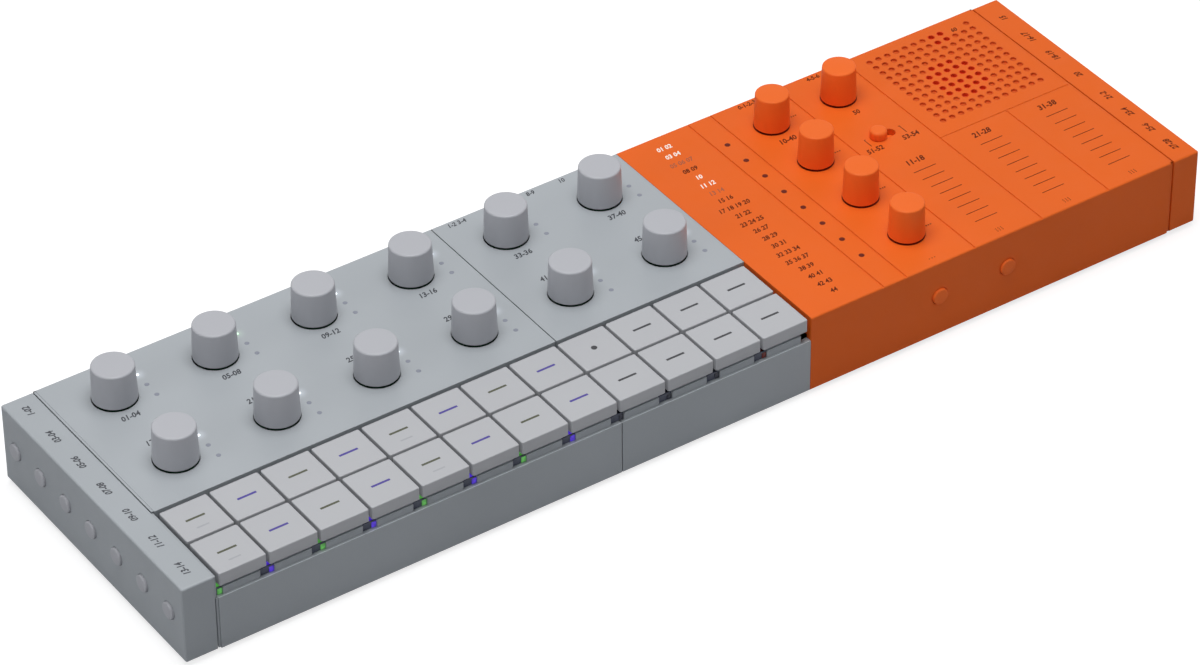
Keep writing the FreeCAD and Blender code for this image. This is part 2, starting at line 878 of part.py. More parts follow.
# Bottom
def make_bottom_cover():
    """The flat cover between the walls, with screw holes and a tray for the battery."""
    body = new_body("bottom_cover_plate")
    gap = of.cover_clearance
    plate = sketch_on(body, "XY_Plane", base)
    inside = of.wall + gap
    rectangle(plate, drum_left + gap, front + inside, effects_right - gap, rear - inside)
    pad(body, plate, of.wall)
    tray = sketch_on(body, "XY_Plane", cover_top)
    for margin in (of.tray_clearance, of.tray_clearance + of.tray_wall):
        half_length = of.battery_length / 2 + margin
        half_depth = of.battery_width / 2 + margin
        rectangle(tray, battery_x - half_length, battery_y - half_depth, battery_x + half_length,
                  battery_y + half_depth, of.battery_corner + margin)
    pad(body, tray, of.tray_height)
    cutters = []
    head_radius = of.screw_head_radius + of.screw_hole_clearance
    head_depth = of.screw_head_height + of.screw_head_recess
    shank_radius = of.screw_radius + of.screw_hole_clearance
    for step, (x, y) in enumerate(bosses, start=1):
        cutters.append(prism(f"cover_head_hole_{step}", x, y, base, head_radius, head_depth, outside=True))
        cutters.append(prism(f"cover_shank_hole_{step}", x, y, base, shank_radius, of.wall, outside=True))
    return named(cut("cover_bored", body, compound("cover_holes", cutters)), "bottom_cover")


def make_screws():
    """Screws that hold the bottom cover to the bosses."""
    head_bottom = base + of.screw_head_recess
    seat = head_bottom + of.screw_head_height
    screws = []
    for step, (x, y) in enumerate(bosses, start=1):
        head = prism(f"screw_head_{step}", x, y, head_bottom, of.screw_head_radius, of.screw_head_height)
        shank = prism(f"screw_shank_{step}", x, y, seat, of.screw_radius, of.screw_length)
        screws.append(fuse(f"screw_{step}", [head, shank]))
    return compound("cover_screws", screws)


def make_feet():
    """Four round rubber feet under the corners."""
    body = new_body("rubber_feet", separate=True)
    sketch = sketch_on(body, "XY_Plane")
    for x in (left_end + of.foot_inset, right_end - of.foot_inset):
        for y in (-of.foot_row, of.foot_row):
            circle(sketch, x, y, of.foot_radius)
    pad(body, sketch, of.foot_height)
    doc.recompute()
    finish_edges(body, "Chamfer", of.foot_edge, lambda box: at(box.ZMin, 0.0) and at(box.ZMax, 0.0))
    return body


def make_battery():
    body = new_body("battery")
    sketch = sketch_on(body, "XY_Plane", cover_top)
    half_length = of.battery_length / 2
    half_depth = of.battery_width / 2
    rectangle(sketch, battery_x - half_length, battery_y - half_depth, battery_x + half_length,
              battery_y + half_depth, of.battery_corner)
    pad(body, sketch, of.battery_thickness)
    return body


# Board and what it carries
def make_board_plate():
    """The circuit board, notched where the side buttons need room and bored where the bosses pass."""
    body = new_body("board_plate")
    left = left_end + of.wall + mechanism_room
    right = right_end - of.wall - mechanism_room
    socket_right = right_end - of.wall - of.board_margin
    low = front + of.wall + of.board_margin
    high = rear - of.wall - of.board_margin
    notch_low = front + of.wall + mechanism_room
    notch_high = rear - of.wall - mechanism_room
    beside = of.board_notch_margin
    step_y = jack_rows[-1] - of.jack_body_width / 2 - of.board_margin
    sketch = sketch_on(body, "XY_Plane", board_bottom)
    polygon(sketch, [
        (left, low),
        (front_buttons[0] - beside, low), (front_buttons[0] - beside, notch_low),
        (front_buttons[-1] + beside, notch_low), (front_buttons[-1] + beside, low),
        (right, low), (right, step_y), (socket_right, step_y), (socket_right, high),
        (rear_buttons[-1] + beside, high), (rear_buttons[-1] + beside, notch_high),
        (rear_buttons[0] - beside, notch_high), (rear_buttons[0] - beside, high),
        (left, high),
    ])
    pad(body, sketch, of.board_thickness)
    holes = [prism(f"board_hole_{step}", x, y, board_bottom, of.boss_radius + of.boss_clearance,
                   of.board_thickness, outside=True) for step, (x, y) in enumerate(bosses, start=1)]
    return cut("board_bored", body, compound("board_holes", holes))


def make_key_switches():
    body = new_body("key_switches", separate=True)
    sketch = sketch_on(body, "XY_Plane", board_top)
    square(sketch, key_edge_x(0.5), key_row_y(0), of.switch_side)
    steps = [("X_Axis", of.key_pitch, columns), ("Y_Axis", of.key_pitch, COUNTS["key_rows"])]
    pattern(body, pad(body, sketch, of.switch_height), steps)
    plunger = sketch_on(body, "XY_Plane", board_top + of.switch_height)
    square(plunger, key_edge_x(0.5), key_row_y(0), of.switch_plunger_side)
    pattern(body, pad(body, plunger, of.switch_plunger), steps)
    return body


def make_encoder(step, x, y):
    """A rotary encoder: a square case with a bush on top that guides the knob's spindle."""
    case_top = board_top + of.encoder_height
    bush_top = case_top + of.bush_height
    bore_bottom = case_top - of.spindle_depth - of.spindle_clearance
    case = box(f"encoder_case_{step}", x, y, board_top, of.encoder_side, of.encoder_side, of.encoder_height)
    bush = prism(f"encoder_bush_{step}", x, y, case_top, of.bush_radius, of.bush_height)
    bore = prism(f"encoder_bore_{step}", x, y, bore_bottom, of.spindle_radius + of.spindle_clearance,
                 bush_top - bore_bottom, outside=True)
    return cut(f"encoder_{step}", fuse(f"encoder_outside_{step}", [case, bush]), bore)


def make_encoders():
    places = knob_places + sound_knob_places + [effects_knob_place]
    return [make_encoder(step, x, y) for step, (x, y) in enumerate(places, start=1)]


def make_side_switches():
    """Small switches on the board's edges, one behind each side button."""
    half = of.side_switch_length / 2
    left = left_end + of.wall + mechanism_room + half
    right = right_end - of.wall - mechanism_room - half
    low = front + of.wall + mechanism_room + half
    high = rear - of.wall - mechanism_room - half
    along = [(left, y) for y in left_button_rows] + [(right, y) for y in right_button_rows]
    across = [(x, low) for x in front_buttons] + [(x, high) for x in rear_buttons]
    size = (of.side_switch_length, of.side_switch_width)
    switches = [box(f"end_switch_{step}", x, y, board_top, *size, of.side_switch_height)
                for step, (x, y) in enumerate(along, start=1)]
    return switches + [box(f"edge_switch_{step}", x, y, board_top, *reversed(size), of.side_switch_height)
                       for step, (x, y) in enumerate(across, start=1)]


def make_slide_switch_case():
    """The switch on the board that the slide's lever works in."""
    body = new_body("slide_switch_case")
    x = slide_start + slide_travel / 2
    case = sketch_on(body, "XY_Plane", board_top)
    half_length = of.slide_body_length / 2
    half_depth = of.slide_body_width / 2
    rectangle(case, x - half_length, slide_y - half_depth, x + half_length, slide_y + half_depth)
    pad(body, case, of.slide_body_height)
    slot = sketch_on(body, "XY_Plane", board_top + of.slide_body_height)
    reach = of.slide_lever / 2 + of.slide_clearance
    rectangle(slot, slide_start - reach, slide_y - reach, slide_start + slide_travel + reach, slide_y + reach)
    pocket(body, slot, of.slide_body_slot)
    return body


def make_main_board():
    pieces = [make_board_plate(), make_key_switches(), make_slide_switch_case()]
    return compound("main_board", pieces + make_encoders() + make_side_switches())


def make_sockets():
    """A data socket and three round sockets that stand on the board and look out of the right end."""
    jacks = [make_jack(step, y) for step, y in enumerate(jack_rows, start=1)]
    return compound("sockets", [make_usb_socket()] + jacks)


def make_jack(step, y):
    body = new_body(f"jack_{step}")
    case_right = right_end - of.wall - of.socket_clearance
    case_left = socket_mouth - of.jack_length
    case = sketch_on(body, "YZ_Plane", case_left)
    half = of.jack_body_width / 2
    rectangle(case, y - half, board_top, y + half, board_top + of.jack_body_height)
    pad(body, case, case_right - case_left)
    nose = sketch_on(body, "YZ_Plane", case_right)
    circle(nose, y, jack_z, of.jack_nose_radius)
    pad(body, nose, socket_mouth - case_right)
    bore = sketch_on(body, "YZ_Plane", socket_mouth)
    circle(bore, y, jack_z, of.jack_bore_radius)
    pocket(body, bore, of.jack_bore_length)
    return body


def make_usb_socket():
    body = new_body("usb_socket")
    shell = sketch_on(body, "YZ_Plane", socket_mouth - of.usb_length)
    stadium(shell, usb_y, usb_z, of.usb_width, of.usb_height)
    pad(body, shell, of.usb_length)
    mouth = sketch_on(body, "YZ_Plane", socket_mouth)
    thin = of.usb_wall * 2
    stadium(mouth, usb_y, usb_z, of.usb_width - thin, of.usb_height - thin)
    pocket(body, mouth, of.usb_length - of.usb_back)
    tongue = sketch_on(body, "YZ_Plane", socket_mouth - of.usb_length)
    half = of.usb_tongue_width / 2
    rectangle(tongue, usb_y - half, usb_z - of.usb_tongue / 2, usb_y + half, usb_z + of.usb_tongue / 2)
    pad(body, tongue, of.usb_length - of.usb_back)
    return body


def make_light_guides():
    """Clear blocks in the slot below the keys, each with a leg that stands on the board."""
    body = new_body("light_guides", separate=True)
    start = drum_left + of.guide_clearance
    width = key_edge_x(0) + of.window_width / 2 - of.guide_clearance - start
    leg_front = front + of.wall + of.guide_clearance
    rear_face = inner_front + of.window_depth - of.guide_clearance
    block_bottom = ledge_top + of.guide_clearance
    sketch = sketch_on(body, "YZ_Plane", start)
    polygon(sketch, [
        (inner_front, block_bottom), (leg_front, block_bottom), (leg_front, board_top),
        (rear_face, board_top), (rear_face, bed_top - of.guide_clearance),
        (inner_front, bed_top - of.guide_clearance),
    ])
    pattern(body, pad(body, sketch, width), [("X_Axis", of.key_pitch, columns)])
    return body


def make_speaker():
    """A small loudspeaker under the panel: rim, basket and magnet."""
    body = new_body("speaker", speaker_x, speaker_y, ceiling - of.speaker_height)
    sketch = sketch_on(body, "XZ_Plane")
    rim_bottom = of.speaker_height - of.speaker_rim
    polygon(sketch, [
        (0.0, 0.0), (of.speaker_magnet_radius, 0.0), (of.speaker_magnet_radius, of.speaker_magnet_height),
        (of.speaker_radius, rim_bottom), (of.speaker_radius, of.speaker_height), (0.0, of.speaker_height),
    ])
    revolve(body, sketch)
    return body


# Keys, knobs and buttons
def make_keys(name, first, count):
    """Square keycaps, hollow below, each with a square stem that slides in the key bed."""
    keys = []
    for row in range(COUNTS["key_rows"]):
        for column in range(first, first + count):
            number = (COUNTS["key_rows"] - 1 - row) * count + column - first + 1
            keys.append(make_key(f"{name}_{number}", key_edge_x(column + 0.5), key_row_y(row)))
    return keys


def make_key(name, x, y):
    body = new_body(name, x, y, skirt_bottom)
    outline = sketch_on(body, "XY_Plane")
    square(outline, 0.0, 0.0, key_side)
    pad(body, outline, of.key_skirt)
    cavity = sketch_on(body, "XY_Plane")
    square(cavity, 0.0, 0.0, key_side - of.key_wall * 2)
    pocket(body, cavity, of.key_skirt - of.key_top, forward=True)
    stem_bottom = switch_top + of.key_travel + of.switch_gap - skirt_bottom
    stem = sketch_on(body, "XY_Plane", stem_bottom)
    square(stem, 0.0, 0.0, of.stem_side)
    pad(body, stem, of.key_skirt - of.key_top - stem_bottom)
    return body


def bevel_keys(keys):
    """Soften the top edges of the keycaps."""
    for key in keys:
        finish_edges(key, "Chamfer", of.key_edge, lambda box: at(box.ZMin, of.key_skirt))


def make_knob(name, x, y, base_radius, top_radius):
    """A slightly tapered knob pressed on a spindle that turns in its encoder."""
    cap = new_body(f"{name}_cap", x, y, top + of.knob_lift)
    profile = sketch_on(cap, "XZ_Plane")
    high = of.knob_height
    polygon(profile, [
        (0.0, 0.0), (base_radius, 0.0), (top_radius, high - of.knob_edge),
        (top_radius - of.knob_edge, high), (0.0, high),
    ])
    revolve(cap, profile)
    bore = cap.newObject("PartDesign::SubtractivePrism", "Bore")
    bore.Polygon = 8
    bind(bore, "Circumradius", of.spindle_radius)
    bind(bore, "Height", of.hub_depth)
    spindle_bottom = board_top + of.encoder_height - of.spindle_depth
    spindle_top = top + of.knob_lift + of.hub_depth
    spindle = prism(f"{name}_spindle", x, y, spindle_bottom, of.spindle_radius, spindle_top - spindle_bottom)
    return compound(name, [cap, spindle])


def make_panel_knobs():
    half = columns // 2
    drum = drum_columns // 2
    knobs = []
    for row in range(2):
        for column in range(half):
            name = "drum_knob" if column < drum else "synth_knob"
            across = drum if column < drum else half - drum
            number = (1 - row) * across + (column if column < drum else column - drum) + 1
            x, y = knob_x(column), knob_y(row)
            knobs.append(make_knob(f"{name}_{number}", x, y, of.knob_base_radius, of.knob_top_radius))
    return knobs


def make_sound_knobs():
    radii = (of.sound_knob_base_radius, of.sound_knob_top_radius)
    last = len(sound_knob_places)
    knobs = [make_knob(f"sound_knob_{last - index}", x, y, *radii)
             for index, (x, y) in enumerate(sound_knob_places)]
    return knobs + [make_knob("effects_knob", *effects_knob_place, *radii)]


def make_slide_switch():
    """The slide: a round cap above the slot, a stem through it, a plate below and a lever to the switch."""
    cap_bottom = top + of.slide_cap_lift
    plate_top = ceiling - of.slide_clearance
    plate_bottom = plate_top - of.slide_plate
    body = new_body("slide_switch", slide_start, slide_y, 0.0)
    cap = sketch_on(body, "XY_Plane", cap_bottom)
    circle(cap, 0.0, 0.0, of.slide_cap_radius)
    pad(body, cap, of.slide_cap_height)
    stem = sketch_on(body, "XY_Plane", plate_top)
    circle(stem, 0.0, 0.0, of.slide_width / 2 - of.slide_clearance)
    pad(body, stem, cap_bottom - plate_top)
    plate = sketch_on(body, "XY_Plane", plate_bottom)
    half_length = of.slide_plate_length / 2
    half_depth = of.slide_plate_width / 2
    rectangle(plate, -half_length, -half_depth, half_length, half_depth)
    pad(body, plate, of.slide_plate)
    lever_bottom = board_top + of.slide_body_height - of.slide_body_slot + of.slide_clearance
    lever = sketch_on(body, "XY_Plane", lever_bottom)
    square(lever, 0.0, 0.0, of.slide_lever)
    pad(body, lever, plate_bottom - lever_bottom)
    doc.recompute()
    cap_top = cap_bottom + of.slide_cap_height
    finish_edges(body, "Fillet", of.slide_cap_edge, lambda box: at(box.ZMin, cap_top))
    return body


def make_button_strip(name, role, wall_face, outward, places):
    """Buttons that share one bar behind a wall: discs through the wall, and posts towards the switches.

    wall_face is the wall's inner face along the sketch's normal, and outward is +1 or -1 along it."""
    body = new_body(name)
    bar_outer = wall_face - of.bar_gap * outward
    bar_inner = bar_outer - of.bar_thickness * outward
    disc_length = of.bar_gap + of.wall + of.button_proud
    low = places[0] - of.bar_reach
    high = places[-1] + of.bar_reach
    half = of.bar_height / 2
    bar = sketch_on(body, role, bar_inner)
    rectangle(bar, low, button_z - half, high, button_z + half)
    feature = pad(body, bar, of.bar_thickness)
    feature.Reversed = outward < 0
    discs = sketch_on(body, role, bar_outer)
    posts = sketch_on(body, role, bar_inner)
    for spot in places:
        circle(discs, spot, button_z, of.button_radius)
        square(posts, spot, button_z, of.plunger_side)
    feature = pad(body, discs, disc_length)
    feature.Reversed = outward < 0
    feature = pad(body, posts, of.plunger_length)
    feature.Reversed = outward > 0
    return body


def make_buttons():
    inner = right_end - of.wall
    inner_y = rear - of.wall
    strips = [
        make_button_strip("left_buttons", "YZ_Plane", -inner, -1, left_button_rows),
        make_button_strip("right_buttons", "YZ_Plane", inner, 1, right_button_rows),
        make_button_strip("rear_buttons", "XZ_Plane", -inner_y, -1, rear_buttons),
    ]
    for step, x in enumerate(front_buttons, start=1):
        strips.append(make_button_strip(f"front_button_{step}", "XZ_Plane", inner_y, 1, [x]))
    return strips


# The whole part
def make_all():
    parts = [
        make_left_cap(), make_right_cap(), make_drum_housing(), make_synth_housing(), make_effects_housing(),
        make_bottom_cover(), make_feet(), make_screws(), make_main_board(), make_sockets(),
        make_light_guides(), make_battery(), make_speaker(), make_slide_switch(),
    ]
    keys = make_keys("drum_key", 0, drum_columns)
    keys += make_keys("synth_key", drum_columns, columns - drum_columns)
    parts += keys + make_panel_knobs() + make_sound_knobs() + make_buttons()
    doc.recompute()
    bevel_keys(keys)
    doc.recompute()
    return parts


def check(parts):
    """Stop if an object failed, a cut removed nothing, or a sub-part isn't a sound solid."""
    for item in doc.Objects:
        if "Invalid" in item.State or "Error" in item.State:
            raise RuntimeError(f"{item.Name} ({item.Label}) failed: {item.State}")
        if item.TypeId == "PartDesign::Pocket":
            before = item.BaseFeature.Shape.Volume
            if item.Shape.Volume > before - 1e-6:
                raise RuntimeError(f"{item.Name} cuts nothing")
    for part in parts:
        if part.Shape.isNull() or not part.Shape.isValid() or not part.Shape.Solids:
            raise RuntimeError(f"{part.Label} has no sound shape")


def export(parts):
    os.makedirs("parts", exist_ok=True)
    for part in parts:
        part.Shape.exportStep(f"parts/{part.Label}.step")


parts = make_all()
check(parts)
export(parts)
print(len(parts), "sub-parts written")
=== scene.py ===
import math
import bpy
import numpy as np
from mathutils import Matrix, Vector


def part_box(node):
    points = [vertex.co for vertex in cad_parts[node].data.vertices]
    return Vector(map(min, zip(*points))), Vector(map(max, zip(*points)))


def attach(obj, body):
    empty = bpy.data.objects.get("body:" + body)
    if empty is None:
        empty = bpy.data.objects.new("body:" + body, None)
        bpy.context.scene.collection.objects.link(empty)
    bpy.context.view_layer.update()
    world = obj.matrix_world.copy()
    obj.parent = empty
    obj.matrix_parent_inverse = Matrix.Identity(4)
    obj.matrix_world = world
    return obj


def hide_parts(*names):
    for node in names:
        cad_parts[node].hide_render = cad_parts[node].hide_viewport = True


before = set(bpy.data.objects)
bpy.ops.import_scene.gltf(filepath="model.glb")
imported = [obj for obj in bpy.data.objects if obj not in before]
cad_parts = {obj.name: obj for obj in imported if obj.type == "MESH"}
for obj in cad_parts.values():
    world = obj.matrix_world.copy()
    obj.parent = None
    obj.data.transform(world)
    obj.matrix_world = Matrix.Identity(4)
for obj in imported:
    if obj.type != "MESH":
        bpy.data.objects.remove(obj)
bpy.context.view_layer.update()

# Every length below is in millimetres, and every mesh is scaled to metres when it is made
MM = 0.001


# Places read from the frame
def limits(node):
    """The lowest and highest corner of a CAD node."""
    low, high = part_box(node)
    return np.array(low) / MM, np.array(high) / MM


def middle(node):
    low, high = limits(node)
    return (low + high) / 2


def starting(*beginnings):
    return sorted(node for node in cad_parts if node.startswith(beginnings))


drum_low, drum_high = limits("drum_housing")
effects_low, effects_high = limits("effects_housing")
panel_top = drum_high[2]
front = drum_low[1]
rear = drum_high[1]
base = limits("drum_housing")[0][2]
drum_keys = starting("drum_key_")
synth_keys = starting("synth_key_")
grey_knobs = starting("drum_knob_", "synth_knob_")
orange_knobs = starting("sound_knob_", "effects_knob")
key_pitch = middle("synth_key_2")[0] - middle("synth_key_1")[0]
key_low, _ = limits("drum_key_1")
bay_rear = front + 2 * key_pitch

# The windows below the keys reach from the front wall's top to the key bed's top
GUIDE_CLEARANCE = 0.1
WINDOW_HEIGHT = 2.4
bed_top = limits("light_guides")[1][2] + GUIDE_CLEARANCE
ledge_top = bed_top - WINDOW_HEIGHT


# Shapes as arrays: each is (points, faces), with the points in millimetres
UP = np.eye(3)
RIGHT = np.array([[0, 1, 0], [0, 0, 1], [1, 0, 0]], float)
LEFT = np.array([[0, -1, 0], [0, 0, 1], [-1, 0, 0]], float)
BACK = np.array([[-1, 0, 0], [0, 0, 1], [0, 1, 0]], float)
FORWARD = np.array([[1, 0, 0], [0, 0, 1], [0, -1, 0]], float)


def closed_rings(rings):
    """A skin over rings of points, row after row, closed at both ends.

    Each end closes by a fan of triangles to the mean of its own ring."""
    count, size, _ = rings.shape
    poles = np.stack([rings[0].mean(axis=0), rings[-1].mean(axis=0)])
    points = np.concatenate([rings.reshape(-1, 3), poles])
    index = np.arange(count * size).reshape(count, size)
    following = np.roll(index, -1, axis=1)
    quads = np.stack([index[:-1], following[:-1], following[1:], index[1:]], axis=-1).reshape(-1, 4)
    bottom = np.stack([following[0], index[0], np.full(size, count * size)], axis=-1)
    lid = np.stack([index[-1], following[-1], np.full(size, count * size + 1)], axis=-1)
    return points, quads.tolist() + bottom.tolist() + lid.tolist()


def carried(profile, corner_points=6, place=(0, 0, 0), facing=UP):
    """A closed solid whose section is a rounded rectangle that changes along an axis.

    profile is rows of (half width, half depth, corner radius, height), from the middle of the underside, out,
    up and back to the middle of the top. Each ring is four quarter circles of the corner radius about
    (+-(half width - corner), +-(half depth - corner)). The ends close in fans to the axis. facing's rows are
    the directions of the width, the depth and the axis."""
    rows = np.asarray(profile, float)
    half_width, half_depth, corner, height = (column[:, None] for column in rows.T)
    quarter = np.linspace(0, math.pi / 2, corner_points)
    angle = (np.arange(4)[:, None] * math.pi / 2 + quarter).ravel()
    across = np.repeat([1, -1, -1, 1], corner_points)
    along = np.repeat([1, 1, -1, -1], corner_points)
    u = across * (half_width - corner) + corner * np.cos(angle)
    v = along * (half_depth - corner) + corner * np.sin(angle)
    points, faces = closed_rings(np.stack([u, v, np.broadcast_to(height, u.shape)], axis=-1))
    return points @ np.asarray(facing) + np.asarray(place), faces


def arc(centre_out, centre_up, radius, start, end, steps=5):
    """Points (out, up) on a circle, from one angle in degrees to another."""
    angle = np.radians(np.linspace(start, end, steps))
    return np.stack([centre_out + radius * np.cos(angle), centre_up + radius * np.sin(angle)], axis=-1)


def turned(profile, place, facing=UP, around=48):
    """A solid of revolution: rows of (radius, height), each a circle round the axis, closed by fans.

    A point stands at (radius cos t, radius sin t, height) for t in equal steps from 0 to a full turn."""
    rows = np.concatenate([np.atleast_2d(row) for row in profile])
    angle = np.arange(around) * 2 * math.pi / around
    radius, height = rows[:, :1], rows[:, 1:]
    level = np.broadcast_to(height, (len(rows), around))
    rings = np.stack([radius * np.cos(angle), radius * np.sin(angle), level], axis=-1)
    points, faces = closed_rings(rings)
    return points @ np.asarray(facing) + np.asarray(place), faces


def block(low, high, edge=0.05, corner=0.05, facing=UP, place=(0, 0, 0)):
    """A block with beveled edges, given by its lowest and highest corner."""
    low, high = np.asarray(low, float), np.asarray(high, float)
    half = (high - low) / 2
    edge = min(edge, half[0] / 2, half[1] / 2, half[2] / 2)
    corner = min(corner, half[0] - edge, half[1] - edge)
    inner = (half[0] - edge, half[1] - edge, corner)
    outer = (half[0], half[1], corner + edge)
    rows = [(*inner, -half[2]), (*outer, edge - half[2]), (*outer, half[2] - edge), (*inner, half[2])]
    points, faces = carried(rows, 3)
    return (points + (low + high) / 2) @ np.asarray(facing) + np.asarray(place), faces


def joined(shapes):
    """Several shapes as one."""
    offsets = np.cumsum([0] + [len(points) for points, _ in shapes[:-1]])
    points = np.concatenate([points for points, _ in shapes])
    faces = [[corner + int(offset) for corner in face]
             for (_, group), offset in zip(shapes, offsets) for face in group]
    return points, faces


def piece(name, shapes, material, body, replaces=(), smooth=30):
    """A mesh made of shapes, riding on a body; faces that meet under the smooth angle are shaded as one."""
    points, faces = joined(shapes)
    mesh = bpy.data.meshes.new(name)
    mesh.from_pydata((points * MM).tolist(), [], faces)
    mesh.polygons.foreach_set("use_smooth", np.ones(len(mesh.polygons), bool))
    mesh.set_sharp_from_angle(angle=math.radians(smooth))
    mesh.materials.append(material)
    mesh.update()
    item = bpy.data.objects.new(name, mesh)
    bpy.context.scene.collection.objects.link(item)
    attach(item, body)
    if replaces:
        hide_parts(*replaces)
    return item


# Materials
def new_material(name):
    material = bpy.data.materials.new(name)
    material.use_nodes = True
    tree = material.node_tree
    tree.nodes.clear()
    output = tree.nodes.new("ShaderNodeOutputMaterial")
    shader = tree.nodes.new("ShaderNodeBsdfPrincipled")
    tree.links.new(shader.outputs["BSDF"], output.inputs["Surface"])
    return material, tree, shader


def from_srgb(red, green, blue):
    """A colour as read on a screen, 0 to 255, as linear light."""
    share = np.array([red, green, blue]) / 255
    light = np.where(share <= 0.04045, share / 12.92, ((share + 0.055) / 1.055) ** 2.4)
    return (*light.tolist(), 1.0)


def noise(tree, place, scale, detail=2.0):
    """A noise pattern at a scale of so many grains per metre."""
    node = tree.nodes.new("ShaderNodeTexNoise")
    node.inputs["Scale"].default_value = scale
    node.inputs["Detail"].default_value = detail
    tree.links.new(place, node.inputs["Vector"])
    return node.outputs["Fac"]


def ramp(tree, factor, stops):
    """Colours along a factor; stops are (position, colour)."""
    node = tree.nodes.new("ShaderNodeValToRGB")
    node.color_ramp.elements[0].position, node.color_ramp.elements[0].color = stops[0]
    node.color_ramp.elements[1].position, node.color_ramp.elements[1].color = stops[-1]
    for position, colour in stops[1:-1]:
        node.color_ramp.elements.new(position).color = colour
    tree.links.new(factor, node.inputs["Fac"])
    return node.outputs["Color"]


def shade(colour, share):
    return (*[min(1.0, value * share) for value in colour[:3]], 1.0)


# How many times per metre a finish's tone drifts and its gloss wears
TONE_DRIFT = 18.0
GLOSS_WEAR = 140.0
GRAIN_DEPTH = 0.03


def moulded(name, colour, roughness=0.5, grain=9000, depth=0.35, spread=0.035, gloss=0.5, edge=0.25):
    """Fine-textured plastic or paint.

    The tone drifts slowly, the gloss wears unevenly, the surface has a fine grain, and its edges are soft."""
    material, tree, shader = new_material(name)
    place = tree.nodes.new("ShaderNodeTexCoord").outputs["Object"]
    slow = noise(tree, place, TONE_DRIFT, 3.0)
    tone = ramp(tree, slow, [(0.3, shade(colour, 1 - spread)), (0.7, shade(colour, 1 + spread))])
    tree.links.new(tone, shader.inputs["Base Color"])
    fine = noise(tree, place, grain, 2.0)
    wear = ramp(tree, noise(tree, place, GLOSS_WEAR, 4.0),
                [(0.3, (roughness - 0.05,) * 3 + (1.0,)), (0.7, (roughness + 0.06,) * 3 + (1.0,))])
    tree.links.new(wear, shader.inputs["Roughness"])
    bump = tree.nodes.new("ShaderNodeBump")
    bump.inputs["Strength"].default_value = depth
    bump.inputs["Distance"].default_value = GRAIN_DEPTH * MM
    tree.links.new(fine, bump.inputs["Height"])
    if edge:
        soft = tree.nodes.new("ShaderNodeBevel")
        soft.inputs["Radius"].default_value = edge * MM
        tree.links.new(soft.outputs["Normal"], bump.inputs["Normal"])
    tree.links.new(bump.outputs["Normal"], shader.inputs["Normal"])
    shader.inputs["Specular IOR Level"].default_value = gloss
    return material


def glowing(name, colour, strength, body=(0.9, 0.9, 0.9, 1.0), dim=0.6):
    """A lamp's lens, whose light drifts from dim to full by a noise as fine as the lens."""
    material, tree, shader = new_material(name)
    place = tree.nodes.new("ShaderNodeTexCoord").outputs["Object"]
    drift = noise(tree, place, 900.0)
    tree.links.new(ramp(tree, drift, [(0.3, shade(body, 0.85)), (0.7, body)]), shader.inputs["Base Color"])
    light = ramp(tree, drift, [(0.35, shade(colour, dim)), (0.65, colour)])
    tree.links.new(light, shader.inputs["Emission Color"])
    shader.inputs["Emission Strength"].default_value = strength
    shader.inputs["Roughness"].default_value = 0.35
    return material


def lit_paint(name, colour, light, strength, roughness):
    """Paint that takes a lamp's glow where the mesh's own "glow" value says so, from 0 to 1."""
    material = moulded(name, colour, roughness, edge=0)
    tree = material.node_tree
    shader = tree.nodes["Principled BSDF"]
    glow = tree.nodes.new("ShaderNodeAttribute")
    glow.attribute_name = "glow"
    black = (0.0, 0.0, 0.0, 1.0)
    shine = ramp(tree, glow.outputs["Fac"], [(0.0, black), (1.0, light)])
    tree.links.new(shine, shader.inputs["Emission Color"])
    shader.inputs["Emission Strength"].default_value = strength
    return material


grey = from_srgb(168, 173, 177)
cap_grey = from_srgb(166, 171, 175)
key_grey = from_srgb(181, 182, 185)
knob_grey = from_srgb(178, 179, 184)
orange = from_srgb(232, 102, 30)
knob_orange = from_srgb(243, 110, 40)

grey_paint = moulded("grey_paint", grey, 0.42)
cap_paint = moulded("cap_paint", cap_grey, 0.42)
keycap_plastic = moulded("keycap_plastic", key_grey, 0.5, 7000, 0.3, 0.02, edge=0)
knob_plastic = moulded("knob_plastic", knob_grey, 0.48, 6000, 0.4, 0.02, edge=0)
orange_paint = moulded("orange_paint", orange, 0.5, gloss=0.2)
orange_plastic = moulded("orange_plastic", knob_orange, 0.48, 6000, 0.4, 0.03, gloss=0.2, edge=0)
# Darker, browner copies of the orange for the hole linings: painted shade in the holes and on the rims round
# them, darkest red in the deep holes
hole_shade_paint = moulded("hole_shade_paint", from_srgb(214, 92, 40), 0.6, gloss=0.1, edge=0)
deep_hole_shade_paint = moulded("deep_hole_shade_paint", from_srgb(218, 66, 30), 0.6, gloss=0.1, edge=0)
cover_plastic = moulded("cover_plastic", from_srgb(62, 63, 67), 0.6)
rubber = moulded("rubber", from_srgb(38, 38, 39), 0.8, 3000, 0.6, 0.1, 0.2, edge=0)
board_green = moulded("board_green", from_srgb(34, 92, 58), 0.4)
socket_plastic = moulded("socket_plastic", from_srgb(42, 42, 45), 0.4)
battery_film = moulded("battery_film", from_srgb(150, 152, 158), 0.35)
speaker_plastic = moulded("speaker_plastic", from_srgb(46, 44, 44), 0.6)
window_smoke = moulded("window_smoke", from_srgb(84, 88, 104), 0.15, edge=0)
guide_smoke = moulded("guide_smoke", from_srgb(62, 64, 76), 0.15, edge=0)
guide_red = moulded("guide_red", from_srgb(124, 40, 32), 0.2, edge=0)
ink_dark = moulded("ink_dark", from_srgb(58, 60, 66), 0.6, edge=0)
ink_brown = moulded("ink_brown", from_srgb(104, 44, 24), 0.6, gloss=0.05, edge=0)
ink_faded = moulded("ink_faded", from_srgb(178, 100, 72), 0.6, gloss=0.05, edge=0)
ink_white = glowing("ink_white", (1.0, 0.95, 0.88, 1.0), 0.25, from_srgb(238, 226, 214))
